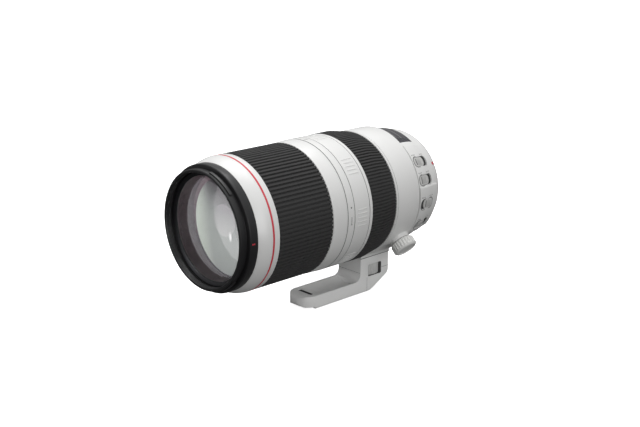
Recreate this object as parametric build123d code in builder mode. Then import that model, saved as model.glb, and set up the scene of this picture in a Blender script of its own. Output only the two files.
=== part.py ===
"""A white telephoto zoom lens with a tripod collar, built piece by piece.

Frame: the origin is the centre of the rear mount face, on the optical axis. +Y runs
back into the camera body, so the front of the lens lies towards -Y. +Z is up and the
switch panel is on the +X side. Angles round the barrel are measured from the top
towards +X. Lengths are millimetres.
"""
from build123d import *
from math import cos, hypot, radians, sin
import os

os.makedirs("parts", exist_ok=True)

# --- clearances -----------------------------------------------------------------
running_fit = 0.08        # radial, rings that turn on the barrel
slide_gap = 0.25          # radial, tubes and cells that slide in one another
ring_gap = 0.3            # axial, between neighbouring rings
pin_fit = 0.25            # a follower pin in its slot
slider_gap = 0.2          # a switch slider in its well

# --- lengths along the axis, from the mount face to the front rim ----------------
rear_rim = 2.2            # mount flange proud of the rear barrel
rear_barrel_length = 28.3
collar_groove = 0.8
collar_length = 21.8
focus_rear_lip = 1.7
focus_grip_length = 26.2
focus_taper_length = 13.0     # rear part of the focus grip that narrows
focus_front_lip = 2.5
tension_ring_length = 14.2
index_band_length = 6.1
zoom_band_length = 12.9
zoom_grip_length = 47.3
front_band_length = 15.4
red_ring_offset = 4.3     # front band's rear face to the red ring
red_ring_width = 1.4
flange_length = 6.2       # black flange behind the filter rim
filter_rim_length = 5.8
filter_thread_length = 3.9   # the rest of the rim is relieved to the cell bore

# --- radii ----------------------------------------------------------------------
cell_bore = 38.9          # bore of the extension tube
extension_wall = 1.5
guide_wall = 1.7
cam_wall = 1.1
barrel_wall = 1.0
tension_wall = 2.1
sleeve_wall = 1.0
grip_depth = 1.3          # rubber over its sleeve
filter_bore = 38.3
filter_rim_wall = 2.3
flange_step = 2.6         # black flange proud of the filter rim
front_band_flare = 3.2    # front band's rear edge proud of the black flange
collar_wall = 2.0
inner_tube_bore = 32.5
inner_tube_wall = 1.5
throat_bore = 18.5
baffle_wall = 1.5
bayonet_bore = 22.5
bayonet_wall = 2.7
bayonet_length = 5.9
bayonet_lug_height = 1.7
bayonet_lug_thickness = 1.6
mount_flange_radius = 32.5

# --- motion ---------------------------------------------------------------------
zoom_throw = 90.0         # degrees, wide end to long end
zoom_travel = 83.0        # the front group runs forward
variator_travel = 20.0
focus_travel = 14.0
slider_travel = 3.0

# --- tripod foot ----------------------------------------------------------------
foot_half_width = 11.5
foot_split_z = -48.5
foot_bottom_z = -75.5
foot_plate_top_z = -65.6
foot_arm_rear_y = -25.5
foot_arm_front_y = -56.0
foot_tip_y = -111.5
trough_radius = 16.0
trough_depth = 3.4
wheel_y = -41.0
wheel_radius = 11.0
wheel_height = 8.6
window_length = 14.0
window_top_z = -54.6
tripod_y = -76.0
tripod_bore = 2.6         # minor radius of a 1/4 inch tripod thread
tripod_depth = 6.0
foot_screw_radius = 2.5

# --- collar lock knob -----------------------------------------------------------
knob_angle = 133.0
knob_y = -38.5
knob_radius = 9.0
knob_height = 7.4
knob_stand_off = 4.6      # underside of the head above the main barrel
knob_screw_radius = 2.0
knob_grooves = 24

# --- stations worked out from the lengths ---------------------------------------
rear_edge_y = -rear_rim
rear_barrel_y = rear_edge_y - rear_barrel_length
collar_rear_y = rear_barrel_y - collar_groove
collar_front_y = collar_rear_y - collar_length
focus_rear_y = collar_front_y - ring_gap
focus_grip_rear_y = focus_rear_y - focus_rear_lip
focus_grip_front_y = focus_grip_rear_y - focus_grip_length
focus_front_y = focus_grip_front_y - focus_front_lip
tension_rear_y = focus_front_y - ring_gap
tension_front_y = tension_rear_y - tension_ring_length
index_rear_y = tension_front_y - ring_gap
index_front_y = index_rear_y - index_band_length
zoom_rear_y = index_front_y - ring_gap
zoom_grip_rear_y = zoom_rear_y - zoom_band_length
zoom_grip_front_y = zoom_grip_rear_y - zoom_grip_length
front_band_rear_y = zoom_grip_front_y - ring_gap
flange_rear_y = front_band_rear_y - front_band_length
flange_front_y = flange_rear_y - flange_length
front_y = flange_front_y - filter_rim_length

# --- radii worked out from the bore outwards ------------------------------------
extension_radius = cell_bore + extension_wall
guide_bore = extension_radius + slide_gap
guide_radius = guide_bore + guide_wall
cam_bore = guide_radius + slide_gap
cam_radius = cam_bore + cam_wall
barrel_bore = cam_radius + slide_gap
barrel_radius = barrel_bore + barrel_wall
ring_bore = barrel_radius + running_fit
ring_radius = ring_bore + tension_wall
rear_seat_radius = guide_radius + barrel_wall       # the barrel under the collar
rear_ring_bore = rear_seat_radius + running_fit
collar_radius = rear_ring_bore + collar_wall
zoom_sleeve_radius = cam_radius + 1.4
zoom_crest_radius = zoom_sleeve_radius + grip_depth
focus_sleeve_radius = ring_bore + sleeve_wall
focus_crest_radius = focus_sleeve_radius + grip_depth
focus_tail_radius = rear_ring_bore + 0.7
filter_rim_radius = filter_bore + filter_rim_wall
flange_radius = filter_rim_radius + flange_step
inner_tube_radius = inner_tube_bore + inner_tube_wall
frame_radius = inner_tube_radius + 4.4
scale_bore = frame_radius + slide_gap
scale_radius = scale_bore + 0.8
bayonet_radius = bayonet_bore + bayonet_wall
step_y = focus_grip_rear_y - focus_taper_length      # barrel narrows behind here

follower_angles = [60, 180, 300]
follower_radius = 2.0
follower_y = step_y - 9.5


def axis_plane(y):
    """A plane square to the optical axis whose polar angle starts at the top."""
    return Plane(origin=(0, y, 0), x_dir=(0, 0, 1), z_dir=(0, 1, 0))


def radial_plane(angle, radius, y):
    """A plane that faces straight out from the axis, with its x along the axis."""
    outward = (sin(radians(angle)), 0, cos(radians(angle)))
    return Plane(origin=(radius * outward[0], y, radius * outward[2]), x_dir=(0, 1, 0), z_dir=outward)


def profile(*points):
    """A closed half-section: each point is a radius and a place along the axis."""
    with BuildSketch(Plane.XY) as sketch:
        with BuildLine():
            Polyline(*points, close=True)
        make_face()
    return sketch.sketch


def tube_profile(bore, radius, rear, front):
    """The half-section of a plain tube."""
    return profile((bore, rear), (radius, rear), (radius, front), (bore, front))


def slice_face(start, end, radius, plane):
    """A pie slice between two angles from the top."""
    with BuildSketch(plane) as sketch:
        with BuildLine():
            first = (radius * cos(radians(start)), radius * sin(radians(start)))
            last = (radius * cos(radians(end)), radius * sin(radians(end)))
            Line((0, 0), first)
            CenterArc((0, 0), radius, start, end - start)
            Line(last, (0, 0))
        make_face()
    return sketch.sketch


def pins(angles, pin_radius, y, inner, outer):
    """Round pins that stand out from the axis, joined to the current part."""
    for angle in angles:
        with BuildSketch(radial_plane(angle, inner, y)) as end:
            Circle(pin_radius)
        extrude(end.sketch, amount=outer - inner)


def straight_slots(angles, half_width, y_rear, y_front, inner, outer):
    """Slots along the axis through a tube wall, cut from the current part."""
    for angle in angles:
        with BuildSketch(radial_plane(angle, inner, (y_rear + y_front) / 2)) as end:
            SlotOverall(y_rear - y_front, 2 * half_width)
        extrude(end.sketch, amount=outer - inner, mode=Mode.SUBTRACT)


def lens_profile(radius, front_centre, rear_centre, front_curve, rear_curve):
    """The half-section of a lens from its centre thickness and surface radii.

    A positive curve bulges forwards, so a positive front and a negative rear make a
    biconvex glass. The rim is where both surfaces reach the given radius.
    """
    def sag(curve):
        return abs(curve) - (curve * curve - radius * radius) ** 0.5

    front_rim = front_centre + (sag(front_curve) if front_curve > 0 else -sag(front_curve))
    rear_rim_y = rear_centre + (sag(rear_curve) if rear_curve > 0 else -sag(rear_curve))
    with BuildSketch(Plane.XY) as sketch:
        with BuildLine():
            Line((0, rear_centre), (0, front_centre))
            front_sign = 1 if front_curve > 0 else -1
            front_mid = front_centre + front_sign * (abs(front_curve) - (
                front_curve * front_curve - radius * radius / 4) ** 0.5)
            ThreePointArc((0, front_centre), (radius / 2, front_mid), (radius, front_rim))
            Line((radius, front_rim), (radius, rear_rim_y))
            rear_sign = 1 if rear_curve > 0 else -1
            rear_mid = rear_centre + rear_sign * (abs(rear_curve) - (
                rear_curve * rear_curve - radius * radius / 4) ** 0.5)
            ThreePointArc((radius, rear_rim_y), (radius / 2, rear_mid), (0, rear_centre))
        make_face()
    return sketch.sketch


def save(block, name):
    """Label a finished piece and write it out."""
    block.part.label = name
    export_step(block.part, f"parts/{name}.step")


# --- fixed tubes ------------------------------------------------------------------
cam_rear_y = step_y - 3.7
main_barrel_front_y = index_front_y + 0.2
guide_rear_y = step_y + 6.0
guide_front_y = flange_rear_y + 8.0
inner_front_y = zoom_grip_front_y + 5.5
inner_rear_y = rear_barrel_y - 4.0

with BuildPart() as main_barrel:
    revolve(profile(
        (barrel_bore, main_barrel_front_y), (barrel_radius, main_barrel_front_y),
        (barrel_radius, step_y), (rear_seat_radius, step_y),
        (rear_seat_radius, rear_barrel_y), (guide_radius, rear_barrel_y),
        (guide_radius, step_y - 1.5), (barrel_bore, step_y - 1.5)), axis=Axis.Y)
save(main_barrel, "main_barrel")

with BuildPart() as index_band:
    revolve(tube_profile(barrel_radius, ring_radius, index_rear_y, index_front_y), axis=Axis.Y)
    chamfer(index_band.edges().filter_by(GeomType.CIRCLE).group_by(
        SortBy.RADIUS)[-1], length=0.25)
save(index_band, "index_band")

with BuildPart() as guide_tube:
    revolve(tube_profile(guide_bore, guide_radius, guide_rear_y, guide_front_y), axis=Axis.Y)
    straight_slots(follower_angles, follower_radius + pin_fit, follower_y + follower_radius + 1,
                   follower_y - zoom_travel - follower_radius - 1, guide_bore - 1, guide_radius + 1)
save(guide_tube, "guide_tube")

# --- front group: runs forward on three followers ---------------------------------
extension_rear_y = follower_y + 6.0
web_front_y = flange_rear_y + 5.0
front_rim_edge = 0.5

with BuildPart() as extension_tube:
    revolve(tube_profile(cell_bore, extension_radius, extension_rear_y, flange_rear_y), axis=Axis.Y)
    straight_slots(follower_angles, follower_radius, follower_y + follower_radius,
                   follower_y - follower_radius - 0.001, cell_bore - 1, extension_radius + 1)
save(extension_tube, "extension_tube")

with BuildPart() as cam_followers:
    pins(follower_angles, follower_radius - 0.01, follower_y, cell_bore + 0.1, cam_radius - 0.2)
save(cam_followers, "cam_followers")

front_band_radius = flange_radius + front_band_flare
red_front_y = front_band_rear_y - red_ring_offset - red_ring_width
red_rear_y = front_band_rear_y - red_ring_offset
red_groove_depth = 0.7

with BuildPart() as front_band:
    with BuildSketch(Plane.XY) as section:
        with BuildLine():
            Polyline((front_band_radius, red_rear_y), (front_band_radius, front_band_rear_y),
                     (cam_radius + 0.6, front_band_rear_y), (cam_radius + 0.6, web_front_y),
                     (extension_radius, web_front_y), (extension_radius, flange_rear_y),
                     (flange_radius - 0.1, flange_rear_y))
            Spline((flange_radius - 0.1, flange_rear_y),
                   (flange_radius + 0.72 * front_band_flare, (flange_rear_y + red_front_y) / 2 - 0.4),
                   (front_band_radius, red_front_y), tangents=[(0.7, 0.7), (0.05, 1)])
            Polyline((front_band_radius, red_front_y),
                     (front_band_radius - red_groove_depth, red_front_y),
                     (front_band_radius - red_groove_depth, red_rear_y),
                     (front_band_radius, red_rear_y))
        make_face()
    revolve(section.sketch, axis=Axis.Y)
save(front_band, "front_band")

with BuildPart() as red_ring:
    revolve(tube_profile(front_band_radius - red_groove_depth, front_band_radius + 0.1,
                         red_rear_y, red_front_y), axis=Axis.Y)
save(red_ring, "red_ring")

hood_lug_width = 32
hood_lug_height = 1.0

with BuildPart() as filter_ring:
    revolve(profile(
        (filter_bore, front_y), (filter_rim_radius - front_rim_edge, front_y),
        (filter_rim_radius, front_y + front_rim_edge),
        (filter_rim_radius, flange_front_y - 1.6),
        (filter_rim_radius - 0.9, flange_front_y - 1.3), (filter_rim_radius - 0.9, flange_front_y),
        (flange_radius - 0.5, flange_front_y), (flange_radius, flange_front_y + 0.5),
        (flange_radius, flange_rear_y), (cell_bore, flange_rear_y),
        (cell_bore, front_y + filter_thread_length),
        (filter_bore, front_y + filter_thread_length)), axis=Axis.Y)
    for lug_centre in (28, 148, 268):
        with BuildPart(mode=Mode.PRIVATE) as lug:
            revolve(tube_profile(filter_rim_radius - 0.5, filter_rim_radius + hood_lug_height,
                                 front_y + 3.6, front_y + 1.4), axis=Axis.Y)
            extrude(slice_face(lug_centre - hood_lug_width / 2, lug_centre + hood_lug_width / 2,
                               2 * filter_rim_radius, axis_plane(front_y)),
                    amount=2 * filter_rim_length, mode=Mode.INTERSECT)
        add(lug.part)
save(filter_ring, "filter_ring")

# --- front glass -------------------------------------------------------------------
glass_radius = cell_bore - 2.7
glass_edge_y = flange_front_y + 2.4

with BuildPart() as front_cell:
    revolve(profile(
        (cell_bore, flange_front_y + 1.8), (cell_bore, web_front_y + 16),
        (glass_radius - 1.2, web_front_y + 16), (glass_radius - 1.2, glass_edge_y + 20.5),
        (glass_radius + 0.05, glass_edge_y + 20.5), (glass_radius + 0.05, flange_front_y + 1.8)),
        axis=Axis.Y)
save(front_cell, "front_cell")

with BuildPart() as retaining_ring:
    revolve(profile(
        (cell_bore, flange_front_y + 0.05), (cell_bore, flange_front_y + 1.8),
        (glass_radius - 0.7, flange_front_y + 1.8), (glass_radius - 0.7, flange_front_y + 1.1),
        (filter_bore - 0.4, flange_front_y + 0.05)), axis=Axis.Y)
save(retaining_ring, "retaining_ring")

front_curve = 165.0
front_sag = front_curve - (front_curve ** 2 - glass_radius ** 2) ** 0.5
with BuildPart() as front_element:
    revolve(lens_profile(glass_radius, glass_edge_y - front_sag, glass_edge_y + 7.5,
                         front_curve, -900.0), axis=Axis.Y)
save(front_element, "front_element")

with BuildPart() as second_element:
    revolve(lens_profile(glass_radius - 0.3, glass_edge_y + 9.2, glass_edge_y + 17.5,
                         260.0, -400.0), axis=Axis.Y)
save(second_element, "second_element")

# --- zoom ring -----------------------------------------------------------------------
with BuildPart() as zoom_sleeve:
    revolve(profile(
        (cam_radius, zoom_grip_front_y), (zoom_sleeve_radius, zoom_grip_front_y),
        (zoom_sleeve_radius, zoom_grip_rear_y), (zoom_crest_radius + 0.1, zoom_grip_rear_y),
        (ring_radius, zoom_rear_y - 1.0), (ring_radius - 0.25, zoom_rear_y),
        (barrel_radius, zoom_rear_y), (cam_radius, zoom_rear_y)), axis=Axis.Y)
save(zoom_sleeve, "zoom_sleeve")

with BuildPart() as zoom_grip:
    revolve(tube_profile(zoom_sleeve_radius, zoom_crest_radius, zoom_grip_rear_y, zoom_grip_front_y),
            axis=Axis.Y)
save(zoom_grip, "zoom_grip")

helix_steps = 12
helix_rise = zoom_travel / helix_steps
helix_turn = zoom_throw / helix_steps
mid_cam_radius = (cam_bore + cam_radius) / 2
helix_run = radians(helix_turn) * mid_cam_radius
segment_length = hypot(helix_rise, helix_run)

with BuildPart() as cam_tube:
    revolve(tube_profile(cam_bore, cam_radius, cam_rear_y, zoom_grip_front_y), axis=Axis.Y)
    for start_angle in follower_angles:
        for step in range(helix_steps):
            angle = start_angle - helix_turn * (step + 0.5)
            around = (cos(radians(angle)), 0, -sin(radians(angle)))
            outward = (sin(radians(angle)), 0, cos(radians(angle)))
            along = (-around[0] * helix_run, -helix_rise, -around[2] * helix_run)
            place = (mid_cam_radius * outward[0], follower_y - helix_rise * (step + 0.5),
                     mid_cam_radius * outward[2])
            with BuildSketch(Plane(origin=place, x_dir=along, z_dir=outward)) as window:
                SlotOverall(segment_length + 2 * (follower_radius + pin_fit) + 0.4,
                            2 * (follower_radius + pin_fit))
            extrude(window.sketch, amount=1.5 * cam_wall, both=True, mode=Mode.SUBTRACT)
save(cam_tube, "cam_tube")

# --- tension ring --------------------------------------------------------------------
ridge_groups = 8
ridges_per_group = 5
ridge_pitch = 3.5         # degrees
ridge_length = 9.0
ridge_width = 0.9
ridge_height = 0.25

with BuildPart() as tension_ring:
    revolve(tube_profile(ring_bore, ring_radius, tension_rear_y, tension_front_y), axis=Axis.Y)
    chamfer(tension_ring.edges().filter_by(GeomType.CIRCLE).group_by(SortBy.RADIUS)[-1], length=0.25)
    for group in range(ridge_groups):
        for ridge in range(ridges_per_group):
            angle = 46.5 + group * 360 / ridge_groups + (ridge - ridges_per_group // 2) * ridge_pitch
            middle_y = (tension_front_y + tension_rear_y) / 2
            with BuildSketch(radial_plane(angle, ring_radius - 0.5, middle_y)) as foot_print:
                SlotOverall(ridge_length, ridge_width)
            extrude(foot_print.sketch, amount=0.5 + ridge_height)
save(tension_ring, "tension_ring")

# --- focus ring ----------------------------------------------------------------------
with BuildPart() as focus_sleeve:
    revolve(profile(
        (ring_bore, focus_front_y), (ring_radius - 0.3, focus_front_y),
        (ring_radius, focus_front_y + 0.3), (ring_radius, focus_grip_front_y),
        (focus_sleeve_radius, focus_grip_front_y), (focus_sleeve_radius, step_y),
        (focus_tail_radius, focus_grip_rear_y), (collar_radius, focus_grip_rear_y),
        (collar_radius, focus_rear_y), (rear_ring_bore, focus_rear_y),
        (rear_ring_bore, step_y + 0.4), (ring_bore, step_y + 0.4)), axis=Axis.Y)
save(focus_sleeve, "focus_sleeve")

with BuildPart() as focus_grip:
    revolve(profile(
        (focus_sleeve_radius, focus_grip_front_y), (focus_crest_radius, focus_grip_front_y),
        (focus_crest_radius, step_y), (focus_tail_radius + 0.9, focus_grip_rear_y),
        (focus_tail_radius, focus_grip_rear_y), (focus_sleeve_radius, step_y)), axis=Axis.Y)
save(focus_grip, "focus_grip")

# --- tripod collar -------------------------------------------------------------------
base_flare = [(11.5, -48.5), (11.5, -46.6), (15.5, -44.0), (20.5, -40.0)]
boss_radius = 8.0
boss_height = 2.0

with BuildPart() as collar_ring:
    with BuildSketch(axis_plane(collar_rear_y)) as outline:
        Circle(collar_radius)
    extrude(outline.sketch, amount=-collar_length)
    chamfer(collar_ring.edges().filter_by(GeomType.CIRCLE), length=0.3)
    with BuildSketch(Plane.XZ.offset(-foot_arm_rear_y)) as base_outline:
        with BuildLine():
            right = [(x - 11.5 + foot_half_width, z + 48.5 + foot_split_z) for x, z in base_flare]
            left = [(-x, z) for x, z in reversed(right)]
            Polyline(*(right + left), close=True)
        make_face()
    extrude(base_outline.sketch, amount=foot_arm_rear_y - foot_arm_front_y)
    with BuildSketch(radial_plane(knob_angle, rear_seat_radius, knob_y)) as boss:
        Circle(boss_radius)
    extrude(boss.sketch, amount=collar_wall + running_fit + boss_height, taper=12)
    with BuildSketch(axis_plane(collar_front_y)) as focus_room:
        Circle(ring_radius + ring_gap)
    extrude(focus_room.sketch, amount=-focus_grip_length, mode=Mode.SUBTRACT)
    with BuildSketch(axis_plane(collar_rear_y)) as rear_room:
        Circle(collar_radius)
    extrude(rear_room.sketch, amount=rear_barrel_length, mode=Mode.SUBTRACT)
    with BuildSketch(axis_plane(0)) as bore_room:
        Circle(rear_ring_bore)
    extrude(bore_room.sketch, amount=2 * collar_front_y, mode=Mode.SUBTRACT)
    with BuildSketch(radial_plane(knob_angle, 0, knob_y)) as screw_hole:
        Circle(knob_screw_radius + running_fit)
    extrude(screw_hole.sketch, amount=2 * collar_radius, mode=Mode.SUBTRACT)
    with BuildSketch(Plane.XY.offset(foot_split_z)) as socket:
        with Locations((0, wheel_y)):
            Circle(foot_screw_radius + running_fit)
    extrude(socket.sketch, amount=4.6, mode=Mode.SUBTRACT)
    with BuildSketch(Plane.XY.offset(foot_split_z)) as key_way:
        with Locations((0, wheel_y)):
            Rectangle(12 + 0.2, 18 + 0.2)
    extrude(key_way.sketch, amount=1.6, mode=Mode.SUBTRACT)
save(collar_ring, "collar_ring")

knob_plane = radial_plane(knob_angle, rear_seat_radius + knob_stand_off, knob_y)
with BuildPart() as collar_knob:
    with BuildSketch(knob_plane) as head:
        Circle(knob_radius)
    extrude(head.sketch, amount=knob_height)
    rims = collar_knob.edges().filter_by(GeomType.CIRCLE)
    chamfer(rims, length=1.3, length2=1.3)
    with BuildSketch(knob_plane.offset(knob_height)) as face:
        Circle(knob_radius - 2.5)
    extrude(face.sketch, amount=-0.5, mode=Mode.SUBTRACT)
    with BuildSketch(knob_plane) as flutes:
        with PolarLocations(knob_radius + 0.25, knob_grooves):
            Circle(0.75)
    extrude(flutes.sketch, amount=knob_height - 1.2, mode=Mode.SUBTRACT)
save(collar_knob, "collar_knob")

with BuildPart() as knob_screw:
    with BuildSketch(radial_plane(knob_angle, rear_seat_radius + 0.15, knob_y)) as shank:
        Circle(knob_screw_radius)
    extrude(shank.sketch, amount=knob_stand_off - 0.15)
save(knob_screw, "knob_screw")

# --- tripod foot ---------------------------------------------------------------------
wheel_room_bottom_z = window_top_z - wheel_height - 0.6

with BuildPart() as tripod_foot:
    with BuildSketch(Plane.YZ.offset(-foot_half_width)) as side:
        with BuildLine():
            Polyline((foot_arm_rear_y, foot_bottom_z + 13), (foot_arm_rear_y, foot_split_z),
                     (foot_arm_front_y, foot_split_z), (foot_arm_front_y, foot_plate_top_z + 5))
            ThreePointArc((foot_arm_front_y, foot_plate_top_z + 5),
                          (foot_arm_front_y - 1.5, foot_plate_top_z + 1.5),
                          (foot_arm_front_y - 5, foot_plate_top_z))
            Line((foot_arm_front_y - 5, foot_plate_top_z), (foot_tip_y + 4, foot_plate_top_z))
            ThreePointArc((foot_tip_y + 4, foot_plate_top_z),
                          (foot_tip_y, foot_plate_top_z - 4), (foot_tip_y + 3, foot_bottom_z + 1.9))
            Polyline((foot_tip_y + 3, foot_bottom_z + 1.9), (foot_tip_y + 9.5, foot_bottom_z + 1.9),
                     (foot_tip_y + 11, foot_bottom_z), (foot_arm_front_y + 8, foot_bottom_z))
            ThreePointArc((foot_arm_front_y + 8, foot_bottom_z),
                          (foot_arm_front_y + 12, foot_bottom_z + 0.7),
                          (foot_arm_front_y + 16, foot_bottom_z + 2.6))
            Line((foot_arm_front_y + 16, foot_bottom_z + 2.6), (foot_arm_rear_y - 2.5, foot_bottom_z + 9))
            ThreePointArc((foot_arm_rear_y - 2.5, foot_bottom_z + 9),
                          (foot_arm_rear_y - 0.7, foot_bottom_z + 10.8),
                          (foot_arm_rear_y, foot_bottom_z + 13))
        make_face()
    extrude(side.sketch, amount=2 * foot_half_width)
    with BuildSketch(Plane.XY.offset(foot_bottom_z - 1)) as plan:
        with Locations((0, (foot_tip_y + foot_arm_rear_y) / 2 + foot_half_width)):
            Rectangle(2 * foot_half_width, foot_arm_rear_y - foot_tip_y)
        with Locations((0, foot_tip_y + foot_half_width)):
            Circle(foot_half_width)
    extrude(plan.sketch, amount=foot_split_z - foot_bottom_z + 2, mode=Mode.INTERSECT)
    fillet(tripod_foot.edges().filter_by(Axis.Z).group_by(Axis.Y)[-1], radius=1.5)
    with BuildSketch(Plane.XZ.offset(-foot_arm_front_y + 3)) as trough:
        with Locations((0, foot_plate_top_z + trough_radius - trough_depth)):
            Circle(trough_radius)
    extrude(trough.sketch, amount=foot_arm_front_y - foot_tip_y - 17.5, mode=Mode.SUBTRACT)
    with BuildSketch(Plane.XY.offset(foot_plate_top_z - 3.5)) as grip_slot:
        with Locations((0, foot_tip_y + 11)):
            SlotOverall(14, 3.2)
    extrude(grip_slot.sketch, amount=4, mode=Mode.SUBTRACT)
    with BuildSketch(Plane.XY.offset(wheel_room_bottom_z)) as wheel_room:
        with Locations((0, wheel_y)):
            Circle(wheel_radius + 0.4)
    extrude(wheel_room.sketch, amount=window_top_z - wheel_room_bottom_z, mode=Mode.SUBTRACT)
    with BuildSketch(Plane.YZ.offset(-foot_half_width - 1)) as side_window:
        with Locations((wheel_y, (window_top_z + wheel_room_bottom_z) / 2)):
            RectangleRounded(window_length, window_top_z - wheel_room_bottom_z, 1.2)
    extrude(side_window.sketch, amount=2 * foot_half_width + 2, mode=Mode.SUBTRACT)
    with BuildSketch(Plane.XY.offset(foot_split_z)) as key:
        with Locations((0, wheel_y)):
            Rectangle(12, 18)
    extrude(key.sketch, amount=1.4)
    with BuildSketch(Plane.XY.offset(window_top_z - 0.5)) as screw_room:
        with Locations((0, wheel_y)):
            Circle(foot_screw_radius + running_fit)
    extrude(screw_room.sketch, amount=foot_split_z - window_top_z + 3, mode=Mode.SUBTRACT)
    with BuildSketch(Plane.XY.offset(foot_bottom_z)) as bush_seat:
        with Locations((0, tripod_y)):
            Circle(5.0)
    extrude(bush_seat.sketch, amount=tripod_depth, mode=Mode.SUBTRACT)
save(tripod_foot, "tripod_foot")

with BuildPart() as tripod_bush:
    with BuildSketch(Plane.XY.offset(foot_bottom_z)) as bush:
        with Locations((0, tripod_y)):
            Circle(5.0)
            Circle(tripod_bore, mode=Mode.SUBTRACT)
    extrude(bush.sketch, amount=tripod_depth)
save(tripod_bush, "tripod_bush")

with BuildPart() as foot_wheel:
    with BuildSketch(Plane.XY.offset(wheel_room_bottom_z + 0.3)) as wheel:
        with Locations((0, wheel_y)):
            Circle(wheel_radius)
            with PolarLocations(wheel_radius + 0.3, 36):
                Circle(0.6, mode=Mode.SUBTRACT)
    extrude(wheel.sketch, amount=wheel_height)
save(foot_wheel, "foot_wheel")

with BuildPart() as foot_screw:
    with BuildSketch(Plane.XY.offset(wheel_room_bottom_z + 0.3 + wheel_height)) as shank:
        with Locations((0, wheel_y)):
            Circle(foot_screw_radius)
    extrude(shank.sketch, amount=foot_split_z + 4.0 - (wheel_room_bottom_z + 0.3 + wheel_height))
save(foot_screw, "foot_screw")

# --- rear barrel, window and switches ------------------------------------------------
rear_skin = [(rear_seat_radius + 0.1, rear_barrel_y), (rear_seat_radius - 0.1, rear_barrel_y + 5),
             (rear_seat_radius - 0.9, rear_barrel_y + 12), (rear_seat_radius - 2.6, rear_edge_y - 9),
             (rear_seat_radius - 4.8, rear_edge_y - 1.2), (rear_seat_radius - 5.8, rear_edge_y)]
rear_core_bore = scale_radius + 0.5
window_half_angle = 32
window_wall = 1.2
window_front_y = rear_barrel_y + 0.8
window_rear_y = rear_barrel_y + 15.6


def skin_line(rise):
    """The points of the rear barrel's skin, moved out by a rise."""
    return [(radius + rise, y) for radius, y in rear_skin]


def skin_band(rise, depth):
    """A half-section that follows the skin, from a depth below it to a rise above it."""
    outside = skin_line(rise)
    inside = skin_line(-depth)[::-1]
    with BuildSketch(Plane.XY) as sketch:
        with BuildLine():
            Spline(*outside)
            Line(outside[-1], inside[0])
            Spline(*inside)
            Line(inside[-1], outside[0])
        make_face()
    return sketch.sketch


def window_slice():
    """The prism round the top that the distance window fills."""
    return slice_face(-window_half_angle, window_half_angle, 2 * ring_radius, axis_plane(window_front_y))


with BuildPart() as distance_window:
    revolve(skin_band(0, window_wall), axis=Axis.Y)
    extrude(window_slice(), amount=window_rear_y - window_front_y, mode=Mode.INTERSECT)
save(distance_window, "distance_window")

panel_start = 36
panel_fold = 81
panel_end = 131
panel_front_y = rear_barrel_y + 1.6     # a groove parts the panel from the collar
panel_rear_y = rear_edge_y - 5.3
panel_depth = 1.2         # the panel's seat below the skin
upper_panel_rise = 0.35
lower_panel_rise = 1.1
panel_slope = 5.5         # degrees, the skin's fall towards the mount along the wells
well_length = 14.0
well_height = 7.6
well_depth = 1.0
well_y = rear_barrel_y + 9.8
well_skin_radius = rear_seat_radius - 0.75
switches = {
    "focus_mode_switch": (56, upper_panel_rise, 1),
    "focus_range_switch": (74.5, upper_panel_rise, 1),
    "stabiliser_switch": (98, lower_panel_rise, -1),
    "stabiliser_mode_switch": (121, lower_panel_rise, 1),
}
slider_length = well_length - slider_travel - 2 * slider_gap
dot_angle = 60
dot_radius = 1.3


def switch_plane(angle, lift, along=0.0):
    """A plane on the sloping panel: x runs back along it, z faces out."""
    outward = Vector(sin(radians(angle)), 0, cos(radians(angle)))
    back = Vector(0, 1, 0)
    slope = radians(panel_slope)
    down_slope = back * cos(slope) - outward * sin(slope)
    facing = outward * cos(slope) + back * sin(slope)
    origin = outward * well_skin_radius + back * well_y + down_slope * along + facing * lift
    return Plane(origin=origin, x_dir=down_slope, z_dir=facing)


def panel_slab(start, end, rise, front):
    """A slab let into the skin between two angles, standing proud of it by the rise."""
    with BuildPart(mode=Mode.PRIVATE) as slab:
        revolve(skin_band(rise, panel_depth), axis=Axis.Y)
        extrude(slice_face(start, end, 2 * ring_radius, axis_plane(front)),
                amount=panel_rear_y - front, mode=Mode.INTERSECT)
    return slab.part


with BuildPart() as dot_pin:
    with BuildSketch(radial_plane(dot_angle, rear_seat_radius - 5.4, rear_edge_y - 3.2)) as dot:
        Circle(dot_radius)
    extrude(dot.sketch, amount=2 * flange_step)

with BuildPart() as mount_dot:
    revolve(skin_band(0.15, 0.8), axis=Axis.Y)
    add(dot_pin.part, mode=Mode.INTERSECT)
save(mount_dot, "mount_dot")

with BuildPart() as rear_barrel:
    with BuildSketch(Plane.XY) as section:
        with BuildLine():
            Spline(*rear_skin)
            Polyline(rear_skin[-1], (mount_flange_radius + 0.1, rear_edge_y),
                     (mount_flange_radius + 0.1, rear_edge_y - 1.8),
                     (frame_radius - 1.2, rear_edge_y - 1.8), (frame_radius - 1.2, rear_edge_y - 8.3),
                     (rear_core_bore, rear_edge_y - 12.3), (rear_core_bore, rear_barrel_y - 4),
                     (guide_radius, rear_barrel_y - 4), (guide_radius, rear_barrel_y), rear_skin[0])
        make_face()
    revolve(section.sketch, axis=Axis.Y)
    extrude(window_slice(), amount=window_rear_y - window_front_y, mode=Mode.SUBTRACT)
    add(panel_slab(panel_start, panel_end, 2 * flange_step, rear_barrel_y - 1), mode=Mode.SUBTRACT)
    add(mount_dot.part, mode=Mode.SUBTRACT)
save(rear_barrel, "rear_barrel")

with BuildPart() as switch_panel:
    add(panel_slab(panel_start, panel_fold, upper_panel_rise, panel_front_y))
    add(panel_slab(panel_fold, panel_end, lower_panel_rise, panel_front_y))
    for switch_angle, rise, rest_end in switches.values():
        with BuildSketch(switch_plane(switch_angle, rise - well_depth)) as well:
            RectangleRounded(well_length, well_height, 3.2)
        extrude(well.sketch, amount=well_depth + 1.5, mode=Mode.SUBTRACT)
save(switch_panel, "switch_panel")

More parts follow.
